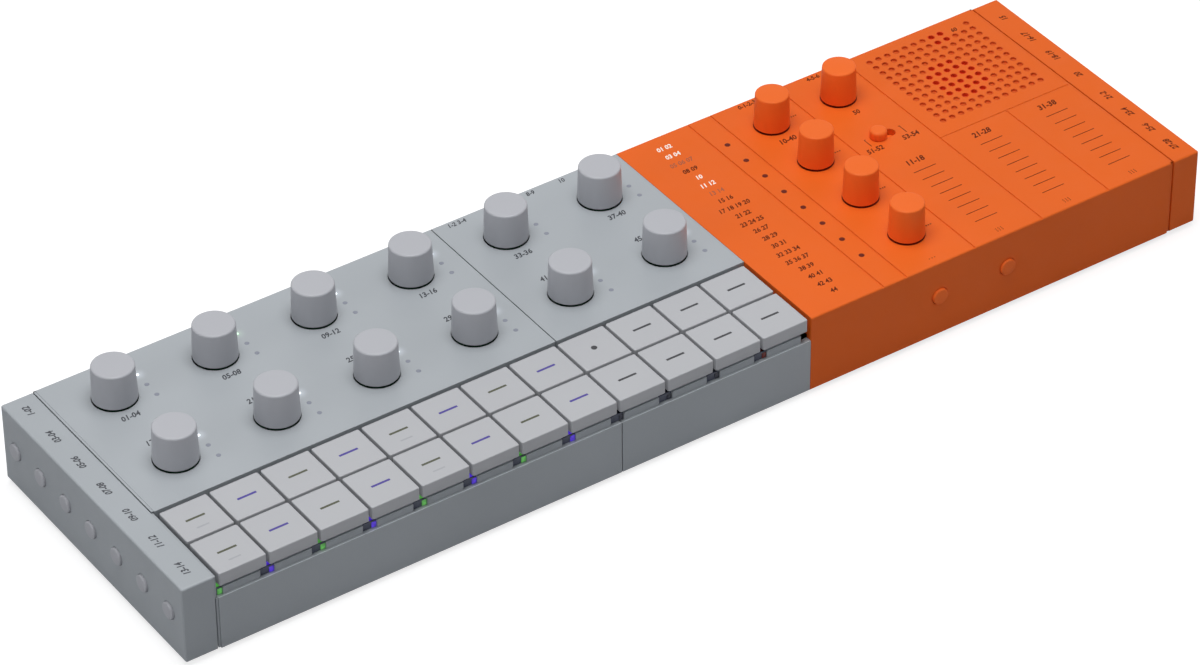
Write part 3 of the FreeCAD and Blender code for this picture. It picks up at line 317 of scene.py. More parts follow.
ink_olive = moulded("ink_olive", from_srgb(76, 78, 60), 0.6, edge=0)
ink_violet = moulded("ink_violet", from_srgb(72, 60, 144), 0.6, edge=0)
ink_black = moulded("ink_black", from_srgb(50, 50, 54), 0.6, edge=0)
ink_pale = moulded("ink_pale", from_srgb(166, 167, 172), 0.6, edge=0)
lamp_off = moulded("lamp_off", from_srgb(134, 138, 150), 0.3, edge=0)
lamp_brown = moulded("lamp_brown", from_srgb(104, 36, 22), 0.35, gloss=0.1, edge=0)
lamp_white = glowing("lamp_white", (0.86, 0.93, 1.0, 1.0), 1.6)
lamp_green = glowing("lamp_green", (0.35, 0.95, 0.4, 1.0), 1.1)
white_halo = lit_paint("white_halo", grey, (0.8, 0.87, 1.0, 1.0), 0.3, 0.42)
green_halo = lit_paint("green_halo", grey, (0.5, 0.9, 0.5, 1.0), 0.2, 0.42)
guide_green = glowing("guide_green", (0.08, 0.36, 0.06, 1.0), 0.9, from_srgb(90, 120, 84), 0.55)
guide_violet = glowing("guide_violet", (0.08, 0.03, 0.62, 1.0), 0.9, from_srgb(66, 58, 112), 0.55)
# Pale, glossier paint for a thin strip on the front wall's top edge: a painted highlight where that edge
# catches light
edge_highlight_paint = moulded("edge_highlight_paint", from_srgb(212, 218, 222), 0.35, edge=0)
collar_red = moulded("collar_red", from_srgb(126, 40, 20), 0.5, gloss=0.1, edge=0)


def brushed_steel(name):
    """Steel drawn along one way: a noise stretched a hundred times along X gives its roughness and tone."""
    material, tree, shader = new_material(name)
    place = tree.nodes.new("ShaderNodeTexCoord").outputs["Object"]
    mapping = tree.nodes.new("ShaderNodeMapping")
    mapping.inputs["Scale"].default_value = (0.01, 1.0, 1.0)
    tree.links.new(place, mapping.inputs["Vector"])
    lines = noise(tree, mapping.outputs["Vector"], 9000.0, 4.0)
    tree.links.new(ramp(tree, lines, [(0.3, (0.22,) * 3 + (1.0,)), (0.7, (0.4,) * 3 + (1.0,))]),
                   shader.inputs["Roughness"])
    tree.links.new(ramp(tree, lines, [(0.3, (0.5, 0.5, 0.51, 1.0)), (0.7, (0.62, 0.62, 0.64, 1.0))]),
                   shader.inputs["Base Color"])
    shader.inputs["Metallic"].default_value = 1.0
    return material


steel = brushed_steel("steel")


def dress_frame():
    """The finish of every CAD node that stays in view."""
    finishes = {
        "left_end_cap": cap_paint, "drum_housing": grey_paint, "synth_housing": grey_paint,
        "right_end_cap": orange_paint, "effects_housing": orange_paint, "bottom_cover": cover_plastic,
        "cover_screws": steel, "main_board": board_green, "sockets": socket_plastic, "battery": battery_film,
        "speaker": speaker_plastic,
    }
    for node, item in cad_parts.items():
        item.data.materials.clear()
        item.data.materials.append(finishes.get(node, grey_paint))


# Knobs
KNOB_HEIGHT = 10.9
SPINDLE_RADIUS = 2.5
GREY_KNOB = {"taper": 0.32, "rim": 0.6}
ORANGE_KNOB = {"taper": 0.3, "rim": 0.5}


def knob(node, taper, rim, material, slot):
    """A turned knob on its spindle: hollow below, with a tapered side and a rounded rim.

    The top falls from its middle by crown * (radius / shoulder) squared."""
    low, high = limits(node)
    x, y, _ = (low + high) / 2
    radius = (high[0] - low[0]) / 2
    bottom = high[2] - KNOB_HEIGHT
    lip, roof, crown, foot = 1.1, 1.4, 0.08, 0.2
    lean = math.degrees(math.atan2(taper, KNOB_HEIGHT))
    shoulder = radius - taper - rim
    inner = shoulder * np.linspace(1, 0.05, 7)[1:]
    profile = [
        (SPINDLE_RADIUS * 0.9, low[2]), (SPINDLE_RADIUS, low[2] + 0.25), (SPINDLE_RADIUS, bottom + roof),
        (radius - lip, bottom + roof), (radius - lip, bottom + 0.1), (radius - lip + 0.1, bottom),
        arc(radius - foot, bottom + foot, foot, -90, 0, 4),
        arc(shoulder, high[2] - rim - crown, rim, lean, 90, 8),
        np.stack([inner, high[2] - crown * (inner / shoulder) ** 2], axis=-1),
    ]
    return piece(f"{node}_cap", [turned(profile, (x, y, 0), around=64)], material, node, [node])


def make_knobs():
    for node in grey_knobs:
        knob(node, **GREY_KNOB, material=knob_plastic, slot="grey_knob")
    for node in orange_knobs:
        knob(node, **ORANGE_KNOB, material=orange_plastic, slot="orange_knob")


# Keys
KEY = {"corner": 0.5, "edge": 0.3, "wall": 1.2, "roof": 1.6, "skirt": 4.1, "stem": 2.2}
TRIM = {"side": 0.13, "first_left": 0.65, "rear": 0.62}


def keycap(node):
    """A square keycap: each ring is a rounded square that follows stem, roof, wall, side and top edge.

    It is trimmed a little all round, and more on the left of the first column and at the back of the rear
    row, where the photograph shows wider gaps."""
    low, high = limits(node)
    low[0] += TRIM["first_left"] if low[0] < key_low[0] + 1 else TRIM["side"]
    high[0] -= TRIM["side"]
    low[1] += TRIM["side"]
    high[1] -= TRIM["rear"] if low[1] > front + key_pitch else TRIM["side"]
    x, y, _ = (low + high) / 2
    half, half_depth = (high[:2] - low[:2]) / 2
    wall, roof, stem, key_corner, edge = KEY["wall"], KEY["roof"], KEY["stem"], KEY["corner"], KEY["edge"]
    top, bottom = high[2], high[2] - KEY["skirt"]
    down = [
        (stem * 0.85, 0.1, low[2]), (stem, 0.2, low[2] + 0.3), (stem, 0.2, top - roof),
        (half - wall, 0.3, top - roof), (half - wall, 0.3, bottom + 0.1), (half - wall + 0.1, 0.3, bottom),
        (half - 0.1, key_corner, bottom), (half, key_corner, bottom + 0.1),
    ]
    rounding = [(out, key_corner - (half - out) * 0.9, up)
                for out, up in arc(half - edge, top - edge, edge, 0, 90, 5)]
    flat = [((half - edge) * share, 0.2 * share, top) for share in (0.97, 0.05)]
    rows = [(out, out * half_depth / half, corner, up) for out, corner, up in down + rounding + flat]
    return piece(f"{node}_top", [carried(rows, 5, (x, y, 0))], keycap_plastic, node, [node])


MARK = {"length": 5.9, "width": 0.75, "faint_length": 3.8, "faint_width": 0.5, "faint_forward": 4.0,
        "dot": 0.9}
PRINT = 0.02


def slab(x, y, length, width, level, corner=0.08):
    """A thin printed bar that lies on a surface."""
    half = np.array([length / 2, width / 2, PRINT])
    place = np.array([x, y, level])
    return block(place - half, place + half, 0.005, corner)


def dot(x, y, radius, level, rise=PRINT):
    """A round dot with a low dome."""
    return turned([(radius, level - PRINT), (radius, level + rise * 0.5), (radius * 0.8, level + rise * 0.85),
                   (radius * 0.4, level + rise)], (x, y, 0), around=20)


def key_marks(node, number, drum):
    """The mark on a key: a dash, or a dot on the first key of the synth's rear row.

    The first and fifth drum keys of a row have a second, faint dash in front."""
    x, y, _ = middle(node)
    level = limits(node)[1][2]
    dash = slab(x, y, MARK["length"], MARK["width"], level)
    if not drum:
        shape = dot(x, y, MARK["dot"], level) if number == 1 else dash
        piece(f"{node}_mark", [shape], ink_black, node)
        return
    column = (number - 1) % 8
    ink = ink_olive if column % 2 == 0 else ink_violet
    piece(f"{node}_mark", [dash], ink, node)
    if column in (0, 4):
        faint = slab(x, y - MARK["faint_forward"], MARK["faint_length"], MARK["faint_width"], level)
        piece(f"{node}_faint_mark", [faint], ink_pale, node)


def make_keys():
    for node in drum_keys + synth_keys:
        keycap(node)
        key_marks(node, int(node.rsplit("_", 1)[1]), node in drum_keys)


# Lamps beside the grey knobs
LAMP = {"radius": 0.72, "lit_radius": 0.5, "across": 10.05, "back": 5.05, "middle": -0.1, "front": -5.4,
        "rise": 0.1}
DARK_LAMPS = ("synth_knob_1", "synth_knob_2")
GREEN_LAMP = "drum_knob_2"
HALO = {"radius": 3.2, "rise": 0.006, "rings": 9}


def halo(name, places, material):
    """A thin disc of the panel's paint round each lamp, with a glow value that falls from 1 to 0.

    The value is (1 - distance / radius) squared, with the distance taken to the nearest lamp."""
    radius, rings = HALO["radius"], HALO["rings"]
    steps = radius * np.linspace(1, 0.1, rings)
    profile = np.stack([steps, np.full(rings, panel_top + HALO["rise"])], axis=-1)
    profile = np.concatenate([[(radius, panel_top - PRINT)], profile])
    discs = [turned([profile], (x, y, 0), around=24) for x, y in places]
    item = piece(name, discs, material, "case")
    mesh = item.data
    points = np.empty(len(mesh.vertices) * 3)
    mesh.vertices.foreach_get("co", points)
    across = points.reshape(-1, 3)[:, None, :2] / MM - np.asarray(places)[None]
    distance = np.linalg.norm(across, axis=-1).min(axis=1)
    glow = np.clip(1 - distance / radius, 0, 1) ** 2
    mesh.attributes.new("glow", "FLOAT", "POINT").data.foreach_set("value", glow)


def make_knob_lamps():
    """Three small lenses to the right of each grey knob; the rear one is lit beside most of them."""
    lit, off = {"white": [], "green": []}, []
    for node in grey_knobs:
        x, y, _ = middle(node)
        for part in ("back", "middle", "front"):
            place = (x + LAMP["across"], y + LAMP[part])
            if part != "back" or node in DARK_LAMPS:
                off.append(dot(*place, LAMP["radius"], panel_top, LAMP["rise"] / 2))
            else:
                lit["green" if node == GREEN_LAMP else "white"].append(place)
    for colour, lens, ring in (("white", lamp_white, white_halo), ("green", lamp_green, green_halo)):
        lenses = [dot(*place, LAMP["lit_radius"], panel_top, LAMP["rise"]) for place in lit[colour]]
        piece(f"lamps_{colour}", lenses, lens, "case")
        halo(f"halo_{colour}", lit[colour], ring)
    piece("lamps_off", off, lamp_off, "case")


# Light guides below the keys
GUIDE = {"lit_count": 8, "lit_width": 1.4, "lit_height": 1.75, "lit_in": 0.3, "pane_reach": 2.65,
         "pane_in": 0.5, "pane": 0.4, "leg": 0.95}


def guide_colour(step, count):
    if step < GUIDE["lit_count"]:
        return ("green", "violet")[step % 2]
    return "red" if step == count - 1 else "smoke"


def make_guides():
    """A smoky pane behind each window below the keys, with a clear block at its right end.

    The first eight blocks are lit, green and violet in turn, and the last one is dark red. A leg behind each
    block stands on the board."""
    low, high = limits("light_guides")
    smoky, shapes = [], {"green": [], "violet": [], "smoke": [], "red": []}
    count = len(drum_keys + synth_keys) // 2
    block_width = high[0] - low[0] - key_pitch * (count - 1)
    face, back, top = low[1], high[1], high[2]
    bottom = ledge_top + GUIDE_CLEARANCE
    pane_face = face + GUIDE["pane_in"]
    pane_back = pane_face + GUIDE["pane"]
    lit_top = bottom + GUIDE["lit_height"]
    for step in range(count):
        left = low[0] + key_pitch * step
        right = left + block_width
        lit_left = right - GUIDE["lit_width"]
        lit = block((lit_left, face + GUIDE["lit_in"], bottom), (right, back, lit_top), 0.12, 0.1)
        shapes[guide_colour(step, count)].append(lit)
        pane_left = left if step == 0 else left - GUIDE["pane_reach"]
        smoky.append(block((pane_left, pane_face, bottom), (lit_left + 0.05, pane_back, top), 0.03))
        smoky.append(block((lit_left, pane_face, lit_top - 0.1), (right, pane_back, top), 0.03))
        smoky.append(block((left, back - GUIDE["leg"], low[2]), (right, back, bottom + 0.05), 0.05))
    materials = {"green": guide_green, "violet": guide_violet, "smoke": guide_smoke, "red": guide_red}
    for colour, group in shapes.items():
        piece(f"guide_blocks_{colour}", group, materials[colour], "case", ["light_guides"])
    piece("guide_panes", smoky, window_smoke, "case", ["light_guides"])


# Buttons
BUTTON = {"radius": 2.55, "edge": 0.4, "bar": 1.2, "bar_half": 3.0, "bar_depth": 3.1, "post": 1.1}
SPOTS = {"left_pitch": 13.45, "left_reach": 3, "right_pitch": 9.9, "right_count": 4, "rear_pitch": 12.0,
         "rear_count": 4, "first": 7.5}


def button(place, facing, reach, edge=BUTTON["edge"]):
    """A round button: a disc of some length with a rounded rim and a slightly crowned face."""
    radius = BUTTON["radius"]
    profile = [(radius, -reach), arc(radius - edge, -edge - 0.05, edge, 0, 90, 5),
               (radius * 0.5, -0.015), (radius * 0.1, 0.0)]
    return turned(profile, place, facing, 32)


def button_strip(node, facing, axis, spots, materials):
    """Buttons on one bar, each with a post towards its switch; spots are places along the wall."""
    low, high = limits(node)
    z = (low[2] + high[2]) / 2
    outward = 1 if facing[2][axis] > 0 else -1
    face = high[axis] if outward > 0 else low[axis]
    back = low[axis] if outward > 0 else high[axis]
    along = 1 - axis
    bar_outer = face - outward * BUTTON["bar_depth"]
    bar_inner = bar_outer - outward * BUTTON["bar"]
    shapes = []
    for spot in spots:
        place = np.zeros(3)
        place[axis], place[along], place[2] = face, spot, z
        shapes.append(button(place, facing, abs(face - bar_outer) + 0.2))
        corner = np.array([0.0, 0.0, z - BUTTON["post"]])
        other = np.array([0.0, 0.0, z + BUTTON["post"]])
        corner[along], other[along] = spot - BUTTON["post"], spot + BUTTON["post"]
        corner[axis], other[axis] = sorted((back, bar_inner + outward * 0.1))
        shapes.append(block(corner, other, 0.1))
    corner, other = low.copy(), high.copy()
    corner[2], other[2] = z - BUTTON["bar_half"], z + BUTTON["bar_half"]
    corner[axis], other[axis] = sorted((bar_inner, bar_outer))
    shapes.append(block(corner, other, 0.15, 0.3))
    if len(materials) == 1:
        piece(f"{node}_finished", shapes, materials[0], node, [node])
        return
    grey_count = 2 * sum(spot < effects_low[0] for spot in spots)
    grey_shapes = shapes[:grey_count] + shapes[-1:]
    piece(f"{node}_grey", grey_shapes, materials[0], node, [node])
    piece(f"{node}_orange", shapes[grey_count:-1], materials[1], node, [node])


def make_buttons():
    """The buttons of the left end, the right end, the rear wall and the front wall."""
    reach = SPOTS["left_reach"]
    left_rows = [SPOTS["left_pitch"] * step for step in range(-reach, reach + 1)]
    right_first = front + SPOTS["first"]
    right_rows = [right_first + SPOTS["right_pitch"] * step for step in range(SPOTS["right_count"])]
    front_spots = [middle("front_button_1")[0], middle("front_button_2")[0]]
    rear_first = limits("synth_housing")[0][0] + SPOTS["first"]
    rear_spots = [rear_first + SPOTS["rear_pitch"] * step for step in range(SPOTS["rear_count"])]
    rear_spots += front_spots
    button_strip("left_buttons", LEFT, 0, left_rows, [knob_plastic])
    button_strip("right_buttons", RIGHT, 0, right_rows, [orange_plastic])
    button_strip("rear_buttons", BACK, 1, rear_spots, [knob_plastic, orange_plastic])
    for step, spot in enumerate(front_spots, start=1):
        button_strip(f"front_button_{step}", FORWARD, 1, [spot], [orange_plastic])


# Slide switch
SLIDE = {"cap_radius": 2.55, "rim": 0.8, "foot": 0.15, "stem_radius": 1.7, "lift": 0.15, "plate_depth": 2.15,
         "plate": 1.0, "plate_length": 12.0, "lever": 1.4}


def make_slide():
    """The slide: a turned cap on a stem, a plate below that closes the slot at every place, and a lever."""
    low, high = limits("slide_switch")
    x, y, _ = (low + high) / 2
    radius, rim, foot, top = SLIDE["cap_radius"], SLIDE["rim"], SLIDE["foot"], high[2]
    lift = panel_top + SLIDE["lift"]
    plate_top = panel_top - SLIDE["plate_depth"]
    plate_bottom = plate_top - SLIDE["plate"]
    half_length, half_lever = SLIDE["plate_length"] / 2, SLIDE["lever"] / 2
    profile = [
        (SLIDE["stem_radius"], plate_top - 0.1), (SLIDE["stem_radius"], lift), (radius - foot, lift),
        arc(radius - foot, lift + foot, foot, -90, 0, 3), arc(radius - rim, top - rim, rim, 0, 90, 7),
        (radius * 0.25, top),
    ]
    plate = block((x - half_length, low[1], plate_bottom), (x + half_length, high[1], plate_top), 0.1)
    lever = block((x - half_lever, y - half_lever, low[2]),
                  (x + half_lever, y + half_lever, plate_bottom + 0.05), 0.1)
    cap = turned(profile, (x, y, 0), around=40)
    piece("slide_switch_cap", [cap, plate, lever], orange_plastic, "slide_switch",
          ["slide_switch"])


# Sound holes
GRILLE = {"pitch": 3.25, "side": 12, "centre": (137.6, 24.55), "radius": 0.89, "flange": 1.12, "wall": 0.04,
          "rise": 0.01, "blind_depth": 0.62, "through_depth": 1.05, "speaker": (5, 6.5), "speaker_reach": 2.7,
          "microphone": ((7, 0), (7, 1), (8, 0), (8, 1)), "missing": ((9, 0), (10, 0))}


def hole_lining(x, y, depth):
    """A round cup with a thin flange that lies on the panel: rings of (radius, height), 12 points each."""
    radius, flange, wall = GRILLE["radius"], GRILLE["flange"], GRILLE["wall"]
    top = panel_top + GRILLE["rise"]
    rows = [(radius, panel_top - depth - wall), (flange, panel_top - wall), (flange, top), (radius, top),
            (radius, panel_top - depth)]
    return turned(rows, (x, y, 0), around=12)


def make_sound_holes():
    """A lining in each sound hole: shallow in the blind ones, deep over the speaker and the microphone. The
    linings and their flanges are painted darker and browner than the panel, as painted shade in the holes and
    round their rims, and darker red in the deep ones.
    """
    cells = [(column, row) for row in range(GRILLE["side"]) for column in range(GRILLE["side"])
             if (column, row) not in GRILLE["missing"]]
    shapes = {"blind": [], "through": []}
    for column, row in cells:
        x = GRILLE["centre"][0] + GRILLE["pitch"] * (column - (GRILLE["side"] - 1) / 2)
        y = GRILLE["centre"][1] - GRILLE["pitch"] * (row - (GRILLE["side"] - 1) / 2)
        over_speaker = math.dist((column, row), GRILLE["speaker"]) <= GRILLE["speaker_reach"]
        kind = "through" if over_speaker or (column, row) in GRILLE["microphone"] else "blind"
        shapes[kind].append(hole_lining(x, y, GRILLE[f"{kind}_depth"]))
    piece("hole_linings_blind", shapes["blind"], hole_shade_paint, "case")
    piece("hole_linings_through", shapes["through"], deep_hole_shade_paint, "case")


# Lines across the orange panel
CROSS_LINE = {"y": 0.1, "left": 113.6, "width": 0.46, "end": 0.3, "top": 0.1, "bottom": 0.28}


def make_cross_line():
    """A strip that lies in the cross line, so that it is a shallow crease and not a deep cut."""
    half, end, y = CROSS_LINE["width"] / 2, CROSS_LINE["end"], CROSS_LINE["y"]
    strip = block((CROSS_LINE["left"] + end, y - half, panel_top - CROSS_LINE["bottom"]),
                  (effects_high[0] - end, y + half, panel_top - CROSS_LINE["top"]), 0.05)
    piece("cross_line_strip", [strip], orange_paint, "case")


# Strips that narrow the grooves to thin lines, a painted highlight along the front wall's top edge, fences
# and collars
SEAM = {"left": (-160.5, -159.81), "right": (160.51, 161.22), "top": 0.06, "thick": 0.45, "end": 0.2,
        "foot": 0.3, "behind_bay": 0.4}
EDGE_HIGHLIGHT = {"front": 0.02, "width": 0.25, "sunk": 0.02, "rise": 0.012, "left_end": 0.1, "right_end": 0.6}
FENCE = {"front": 1.35, "thick": 0.4, "sunk": 0.02, "rise": 1.35, "end": 1.4}
COLLAR = {"inner": 2.68, "outer": 5.36, "below": 0.15, "thick": 0.5}


def seam_strip(name, across, panel_front, wall_top, material):
    """A strip in the groove beside an end cap: along the panel and down the front and rear walls."""
    left, right = across
    end, thick, level = SEAM["end"], SEAM["thick"], panel_top - SEAM["top"]
    foot = base + SEAM["foot"]
    shapes = [
        block((left, panel_front, level - thick), (right, rear - end, level), 0.03),
        block((left, rear - end - thick, foot), (right, rear - end, level), 0.03),
        block((left, front + end, foot), (right, front + end + thick, wall_top - SEAM["top"]), 0.03),
    ]
    piece(name, shapes, material, "case")


def collar(place, inner, outer, low, high, around=48):
    """A flat ring: its four-cornered section goes once round the axis, closed both ways."""
    angle = np.arange(around) * 2 * math.pi / around
    radius = np.array([inner, outer, outer, inner])
    height = np.array([low, low, high, high])
    rings = np.stack([radius[None] * np.cos(angle)[:, None], radius[None] * np.sin(angle)[:, None],
                      np.broadcast_to(height, (around, 4))], axis=-1)
    index = np.arange(around * 4).reshape(around, 4)
    later, following = np.roll(index, -1, axis=0), np.roll(index, -1, axis=1)
    beside = np.roll(later, -1, axis=1)
    quads = np.stack([index, later, beside, following], axis=-1).reshape(-1, 4)
    return rings.reshape(-1, 3) + np.asarray(place), quads.tolist()


def make_trim():
    """The strips in the end grooves, a painted highlight along the front wall's top edge, the fences and the
    knob collars.
    """
    behind_bay = bay_rear + SEAM["behind_bay"]
    seam_strip("seam_strip_left", SEAM["left"], behind_bay, ledge_top, grey_paint)
    seam_strip("seam_strip_right", SEAM["right"], front + SEAM["end"], panel_top, orange_paint)
    # A thin pale strip along the front wall's top edge: a painted highlight, not a part of the case
    left, right = drum_low[0] + EDGE_HIGHLIGHT["left_end"], effects_low[0] - EDGE_HIGHLIGHT["right_end"]
    line = block((left, front + EDGE_HIGHLIGHT["front"], ledge_top - EDGE_HIGHLIGHT["sunk"]),
                 (right, front + EDGE_HIGHLIGHT["width"], ledge_top + EDGE_HIGHLIGHT["rise"]), 0.005)
    piece("front_edge_highlight", [line], edge_highlight_paint, "case")
    fences = []
    for node in drum_keys + synth_keys:
        low, high = limits(node)
        if low[1] < front + 1:
            y = low[1] + FENCE["front"]
            fences.append(block((low[0] + FENCE["end"], y, bed_top - FENCE["sunk"]),
                                (high[0] - FENCE["end"], y + FENCE["thick"], bed_top + FENCE["rise"]), 0.05))
    piece("bed_fences", fences, grey_paint, "case")
    level = panel_top - COLLAR["below"]
    rings = [collar((*middle(node)[:2], 0), COLLAR["inner"], COLLAR["outer"], level - COLLAR["thick"], level)
             for node in orange_knobs]
    piece("knob_collars", rings, collar_red, "case")


# Feet
FOOT = {"radius": 6.0, "rim": 0.4, "dish": 0.25, "dish_edge": 0.22}


def make_feet():
    """Four rubber feet with a rounded rim and a shallow dish below."""
    low, high = limits("rubber_feet")
    radius, rim, dish, dish_edge = FOOT["radius"], FOOT["rim"], FOOT["dish"], FOOT["dish_edge"]
    profile = [(radius * 0.1, dish), (radius * 0.6, dish_edge), (radius * 0.72, 0.0),
               arc(radius - rim, rim, rim, -90, 0, 5), (radius, high[2]), (radius * 0.1, high[2])]
    shapes = [turned(profile, (x, y, 0), around=48)
              for x in (low[0] + radius, high[0] - radius) for y in (low[1] + radius, high[1] - radius)]
    piece("rubber_feet_turned", shapes, rubber, "case", ["rubber_feet"])


# Printed numbers and marks
BOLD = 0.04
SIZE_OF_HEIGHT = 1.38


def printed(text, x, y, level, height, turn=0.0, lean=0.18, squeeze=0.86):
    """A line of figures as a thin slab of outlines, centred on x and y, leaning and turned in the panel."""
    curve = bpy.data.curves.new("figures", "FONT")
    curve.body = text
    curve.align_x = "CENTER"
    curve.align_y = "CENTER"
    curve.size = height * SIZE_OF_HEIGHT
    curve.resolution_u = 2
    curve.extrude = PRINT
    curve.offset = BOLD * height
    item = bpy.data.objects.new("figures", curve)
    bpy.context.scene.collection.objects.link(item)
    bpy.context.view_layer.update()
    mesh = bpy.data.meshes.new_from_object(item.evaluated_get(bpy.context.evaluated_depsgraph_get()))
    points = np.zeros(len(mesh.vertices) * 3)
    mesh.vertices.foreach_get("co", points)
    points = points.reshape(-1, 3)
    faces = [list(polygon.vertices) for polygon in mesh.polygons]
    bpy.data.objects.remove(item)
    bpy.data.curves.remove(curve)
    bpy.data.meshes.remove(mesh)
    u = points[:, 0] * squeeze + points[:, 1] * lean
    v = points[:, 1]
    turn = math.radians(turn)
    across = x + u * math.cos(turn) - v * math.sin(turn)
    along = y + u * math.sin(turn) + v * math.cos(turn)
    return np.stack([across, along, level + points[:, 2]], axis=-1), faces


KNOB_LABEL = {"height": 2.1, "shift": -0.7, "rear_row": -9.7, "front_row": 9.6}
LIST = {"x": 45.5, "first": 41.7, "step": 4.335, "height": 1.85, "lit": (0, 1, 4, 5), "faded": (2, 6),
        "groups": (2, 2, 3, 2, 1, 2, 2, 2, 4, 2, 3, 2, 2, 2, 3, 3, 2, 2, 2, 1)}
LAMP_COLUMN = {"x": 61.35, "first": 32.6, "step": 9.25, "count": 8, "radius": 0.85}
REAR_LABELS = {"y": 45.6, "height": 1.75,
               "grey": (("1-2 3-4", -23.5), ("5-6 7", -9.8), ("8-9", 1.6), ("10", 12.3))}
LEFT_LABELS = {"x": -165.6, "height": 2.05,
               "rows": (("1-02", 40.8), ("03-04", 27.2), ("05-06", 13.8), ("07-08", 0.2), ("09-10", -13.2),
                        ("11-12", -26.7), ("13-14", -40.1))}
RIGHT_LABELS = {"x": 166.4, "height": 1.95,
                "rows": (("15", 38.2), ("16-17", 26.1), ("18-19", 14.5), ("20", 2.6), ("21-2", -10.5),
                         ("23-4", -20.5), ("25-6", -30.1), ("27-28", -40.2))}
# Each is (text, x, y, height)
ORANGE_LABELS = (
    ("0-1-2-3", 77.6, REAR_LABELS["y"], 1.75), ("4-5-6", 101.4, REAR_LABELS["y"], 1.75),
    ("10-40", middle("sound_knob_1")[0] - 0.5, 24.6, 2.15), ("50", middle("effects_knob")[0], 24.4, 1.9),
    ("51-52", 94.9, 6.2, 2.05), ("53-54", 107.6, 6.2, 2.05),
    ("11-18", 101.0, -4.6, 2.3), ("21-28", 125.1, -4.6, 2.3), ("31-38", 149.1, -4.6, 2.3),
    ("60", 150.4, 41.7, 1.7),
)


def make_labels():
    """Runs of figures beside the knobs, along the edges and in the list, where the panels carry lettering."""
    grey_print = []
    for node in grey_knobs:
        x, y, _ = middle(node)
        rear_row = y > (front + rear) / 2 + key_pitch
        number = int(node.rsplit("_", 1)[1]) + (8 if node.startswith("synth") else 0)
        text = f"{4 * number - 3:02d}-{4 * number:02d}"
        shift = KNOB_LABEL["rear_row" if rear_row else "front_row"]
        grey_print.append(printed(text, x + KNOB_LABEL["shift"], y + shift, panel_top, KNOB_LABEL["height"]))
    for text, y in LEFT_LABELS["rows"]:
        grey_print.append(printed(text, LEFT_LABELS["x"], y, panel_top, LEFT_LABELS["height"], 90))
    for text, x in REAR_LABELS["grey"]:
        grey_print.append(printed(text, x, REAR_LABELS["y"], panel_top, REAR_LABELS["height"]))
    piece("grey_figures", grey_print, ink_dark, "case", smooth=1)

    lit, faded, dark = [], [], []
    number = 0
    for row, count in enumerate(LIST["groups"]):
        text = " ".join(f"{number + step + 1:02d}" for step in range(count))
        number += count
        shape = printed(text, LIST["x"], LIST["first"] - LIST["step"] * row, panel_top, LIST["height"])
        group = lit if row in LIST["lit"] else faded if row in LIST["faded"] else dark
        group.append(shape)
    for text, y in RIGHT_LABELS["rows"]:
        dark.append(printed(text, RIGHT_LABELS["x"], y, panel_top, RIGHT_LABELS["height"], 90))
    dark += [printed(text, x, y, panel_top, height) for text, x, y, height in ORANGE_LABELS]
    piece("list_lit", lit, ink_white, "case", smooth=1)
    piece("list_faded", faded, ink_faded, "case", smooth=1)
    piece("orange_figures", dark, ink_brown, "case", smooth=1)


TOUCH = {"columns": (101.0, 125.1, 149.1), "first": -9.2, "step": 4.1, "count": 8, "length": 7.8,
         "width": 0.28}
FRONT_DOTS = {"groups": (100.6, 124.8, 148.8), "row": 76.8, "y": -44.5, "radius": 0.18, "across": 0.9,
              "along": 0.6}
KNOB_DOTS = {"beside": 7.8, "radius": 0.25, "across": 0.75}
TICK = {"left": 95.0, "right": 107.6, "y": 10.05, "length": 3.7, "width": 0.25, "hook": 0.45, "hook_in": 0.22,
        "hook_y": 11.8}
THREE = (-1, 0, 1)


def make_marks():
    """Dots, touch marks and the ticks beside the slide, printed on the orange panel."""
    x, first, step, radius = (LAMP_COLUMN[key] for key in ("x", "first", "step", "radius"))
    lenses = [dot(x, first - step * lamp, radius, panel_top, 0.05) for lamp in range(LAMP_COLUMN["count"])]
    piece("lamp_column", lenses, lamp_brown, "case")
    marks = []
    first, step, length, width = (TOUCH[key] for key in ("first", "step", "length", "width"))
    for x in TOUCH["columns"]:
        marks += [slab(x, first - step * mark, length, width, panel_top, 0.05)
                  for mark in range(TOUCH["count"])]
    across, along, y, radius = (FRONT_DOTS[key] for key in ("across", "along", "y", "radius"))
    for x in FRONT_DOTS["groups"]:
        marks += [dot(x + across * column, y + along * row, radius, panel_top)
                  for column in THREE for row in THREE]
    marks += [dot(FRONT_DOTS["row"] + across * column, y, radius, panel_top) for column in THREE]
    for node in starting("sound_knob_"):
        x, y, _ = middle(node)
        first = x + KNOB_DOTS["beside"]
        marks += [dot(first + KNOB_DOTS["across"] * spot, y, KNOB_DOTS["radius"], panel_top)
                  for spot in THREE]
    for x, hook in ((TICK["left"], TICK["hook_in"]), (TICK["right"], -TICK["hook_in"])):
        marks.append(slab(x, TICK["y"], TICK["width"], TICK["length"], panel_top, 0.05))
        marks.append(slab(x + hook, TICK["hook_y"], TICK["hook"], TICK["width"], panel_top, 0.05))
    piece("panel_marks", marks, ink_brown, "case")


# Stage, light and camera
STAGE = {"half_side": 6.0, "seen": 0.4, "unseen": (0.45, 0.455, 0.465, 1.0), "lift": 0.76}
AMBIENT = (0.225, 0.231, 0.245, 1.0)
WHITE = (1.0, 1.0, 1.0, 1.0)


def mixed_colour(tree, factor, first, second):
    """The first colour where the factor is 0 and the second where it is 1."""
    node = tree.nodes.new("ShaderNodeMix")
    node.data_type = "RGBA"
    node.inputs["A"].default_value = first
    node.inputs["B"].default_value = second
    tree.links.new(factor, node.inputs["Factor"])
    return node.outputs["Result"]


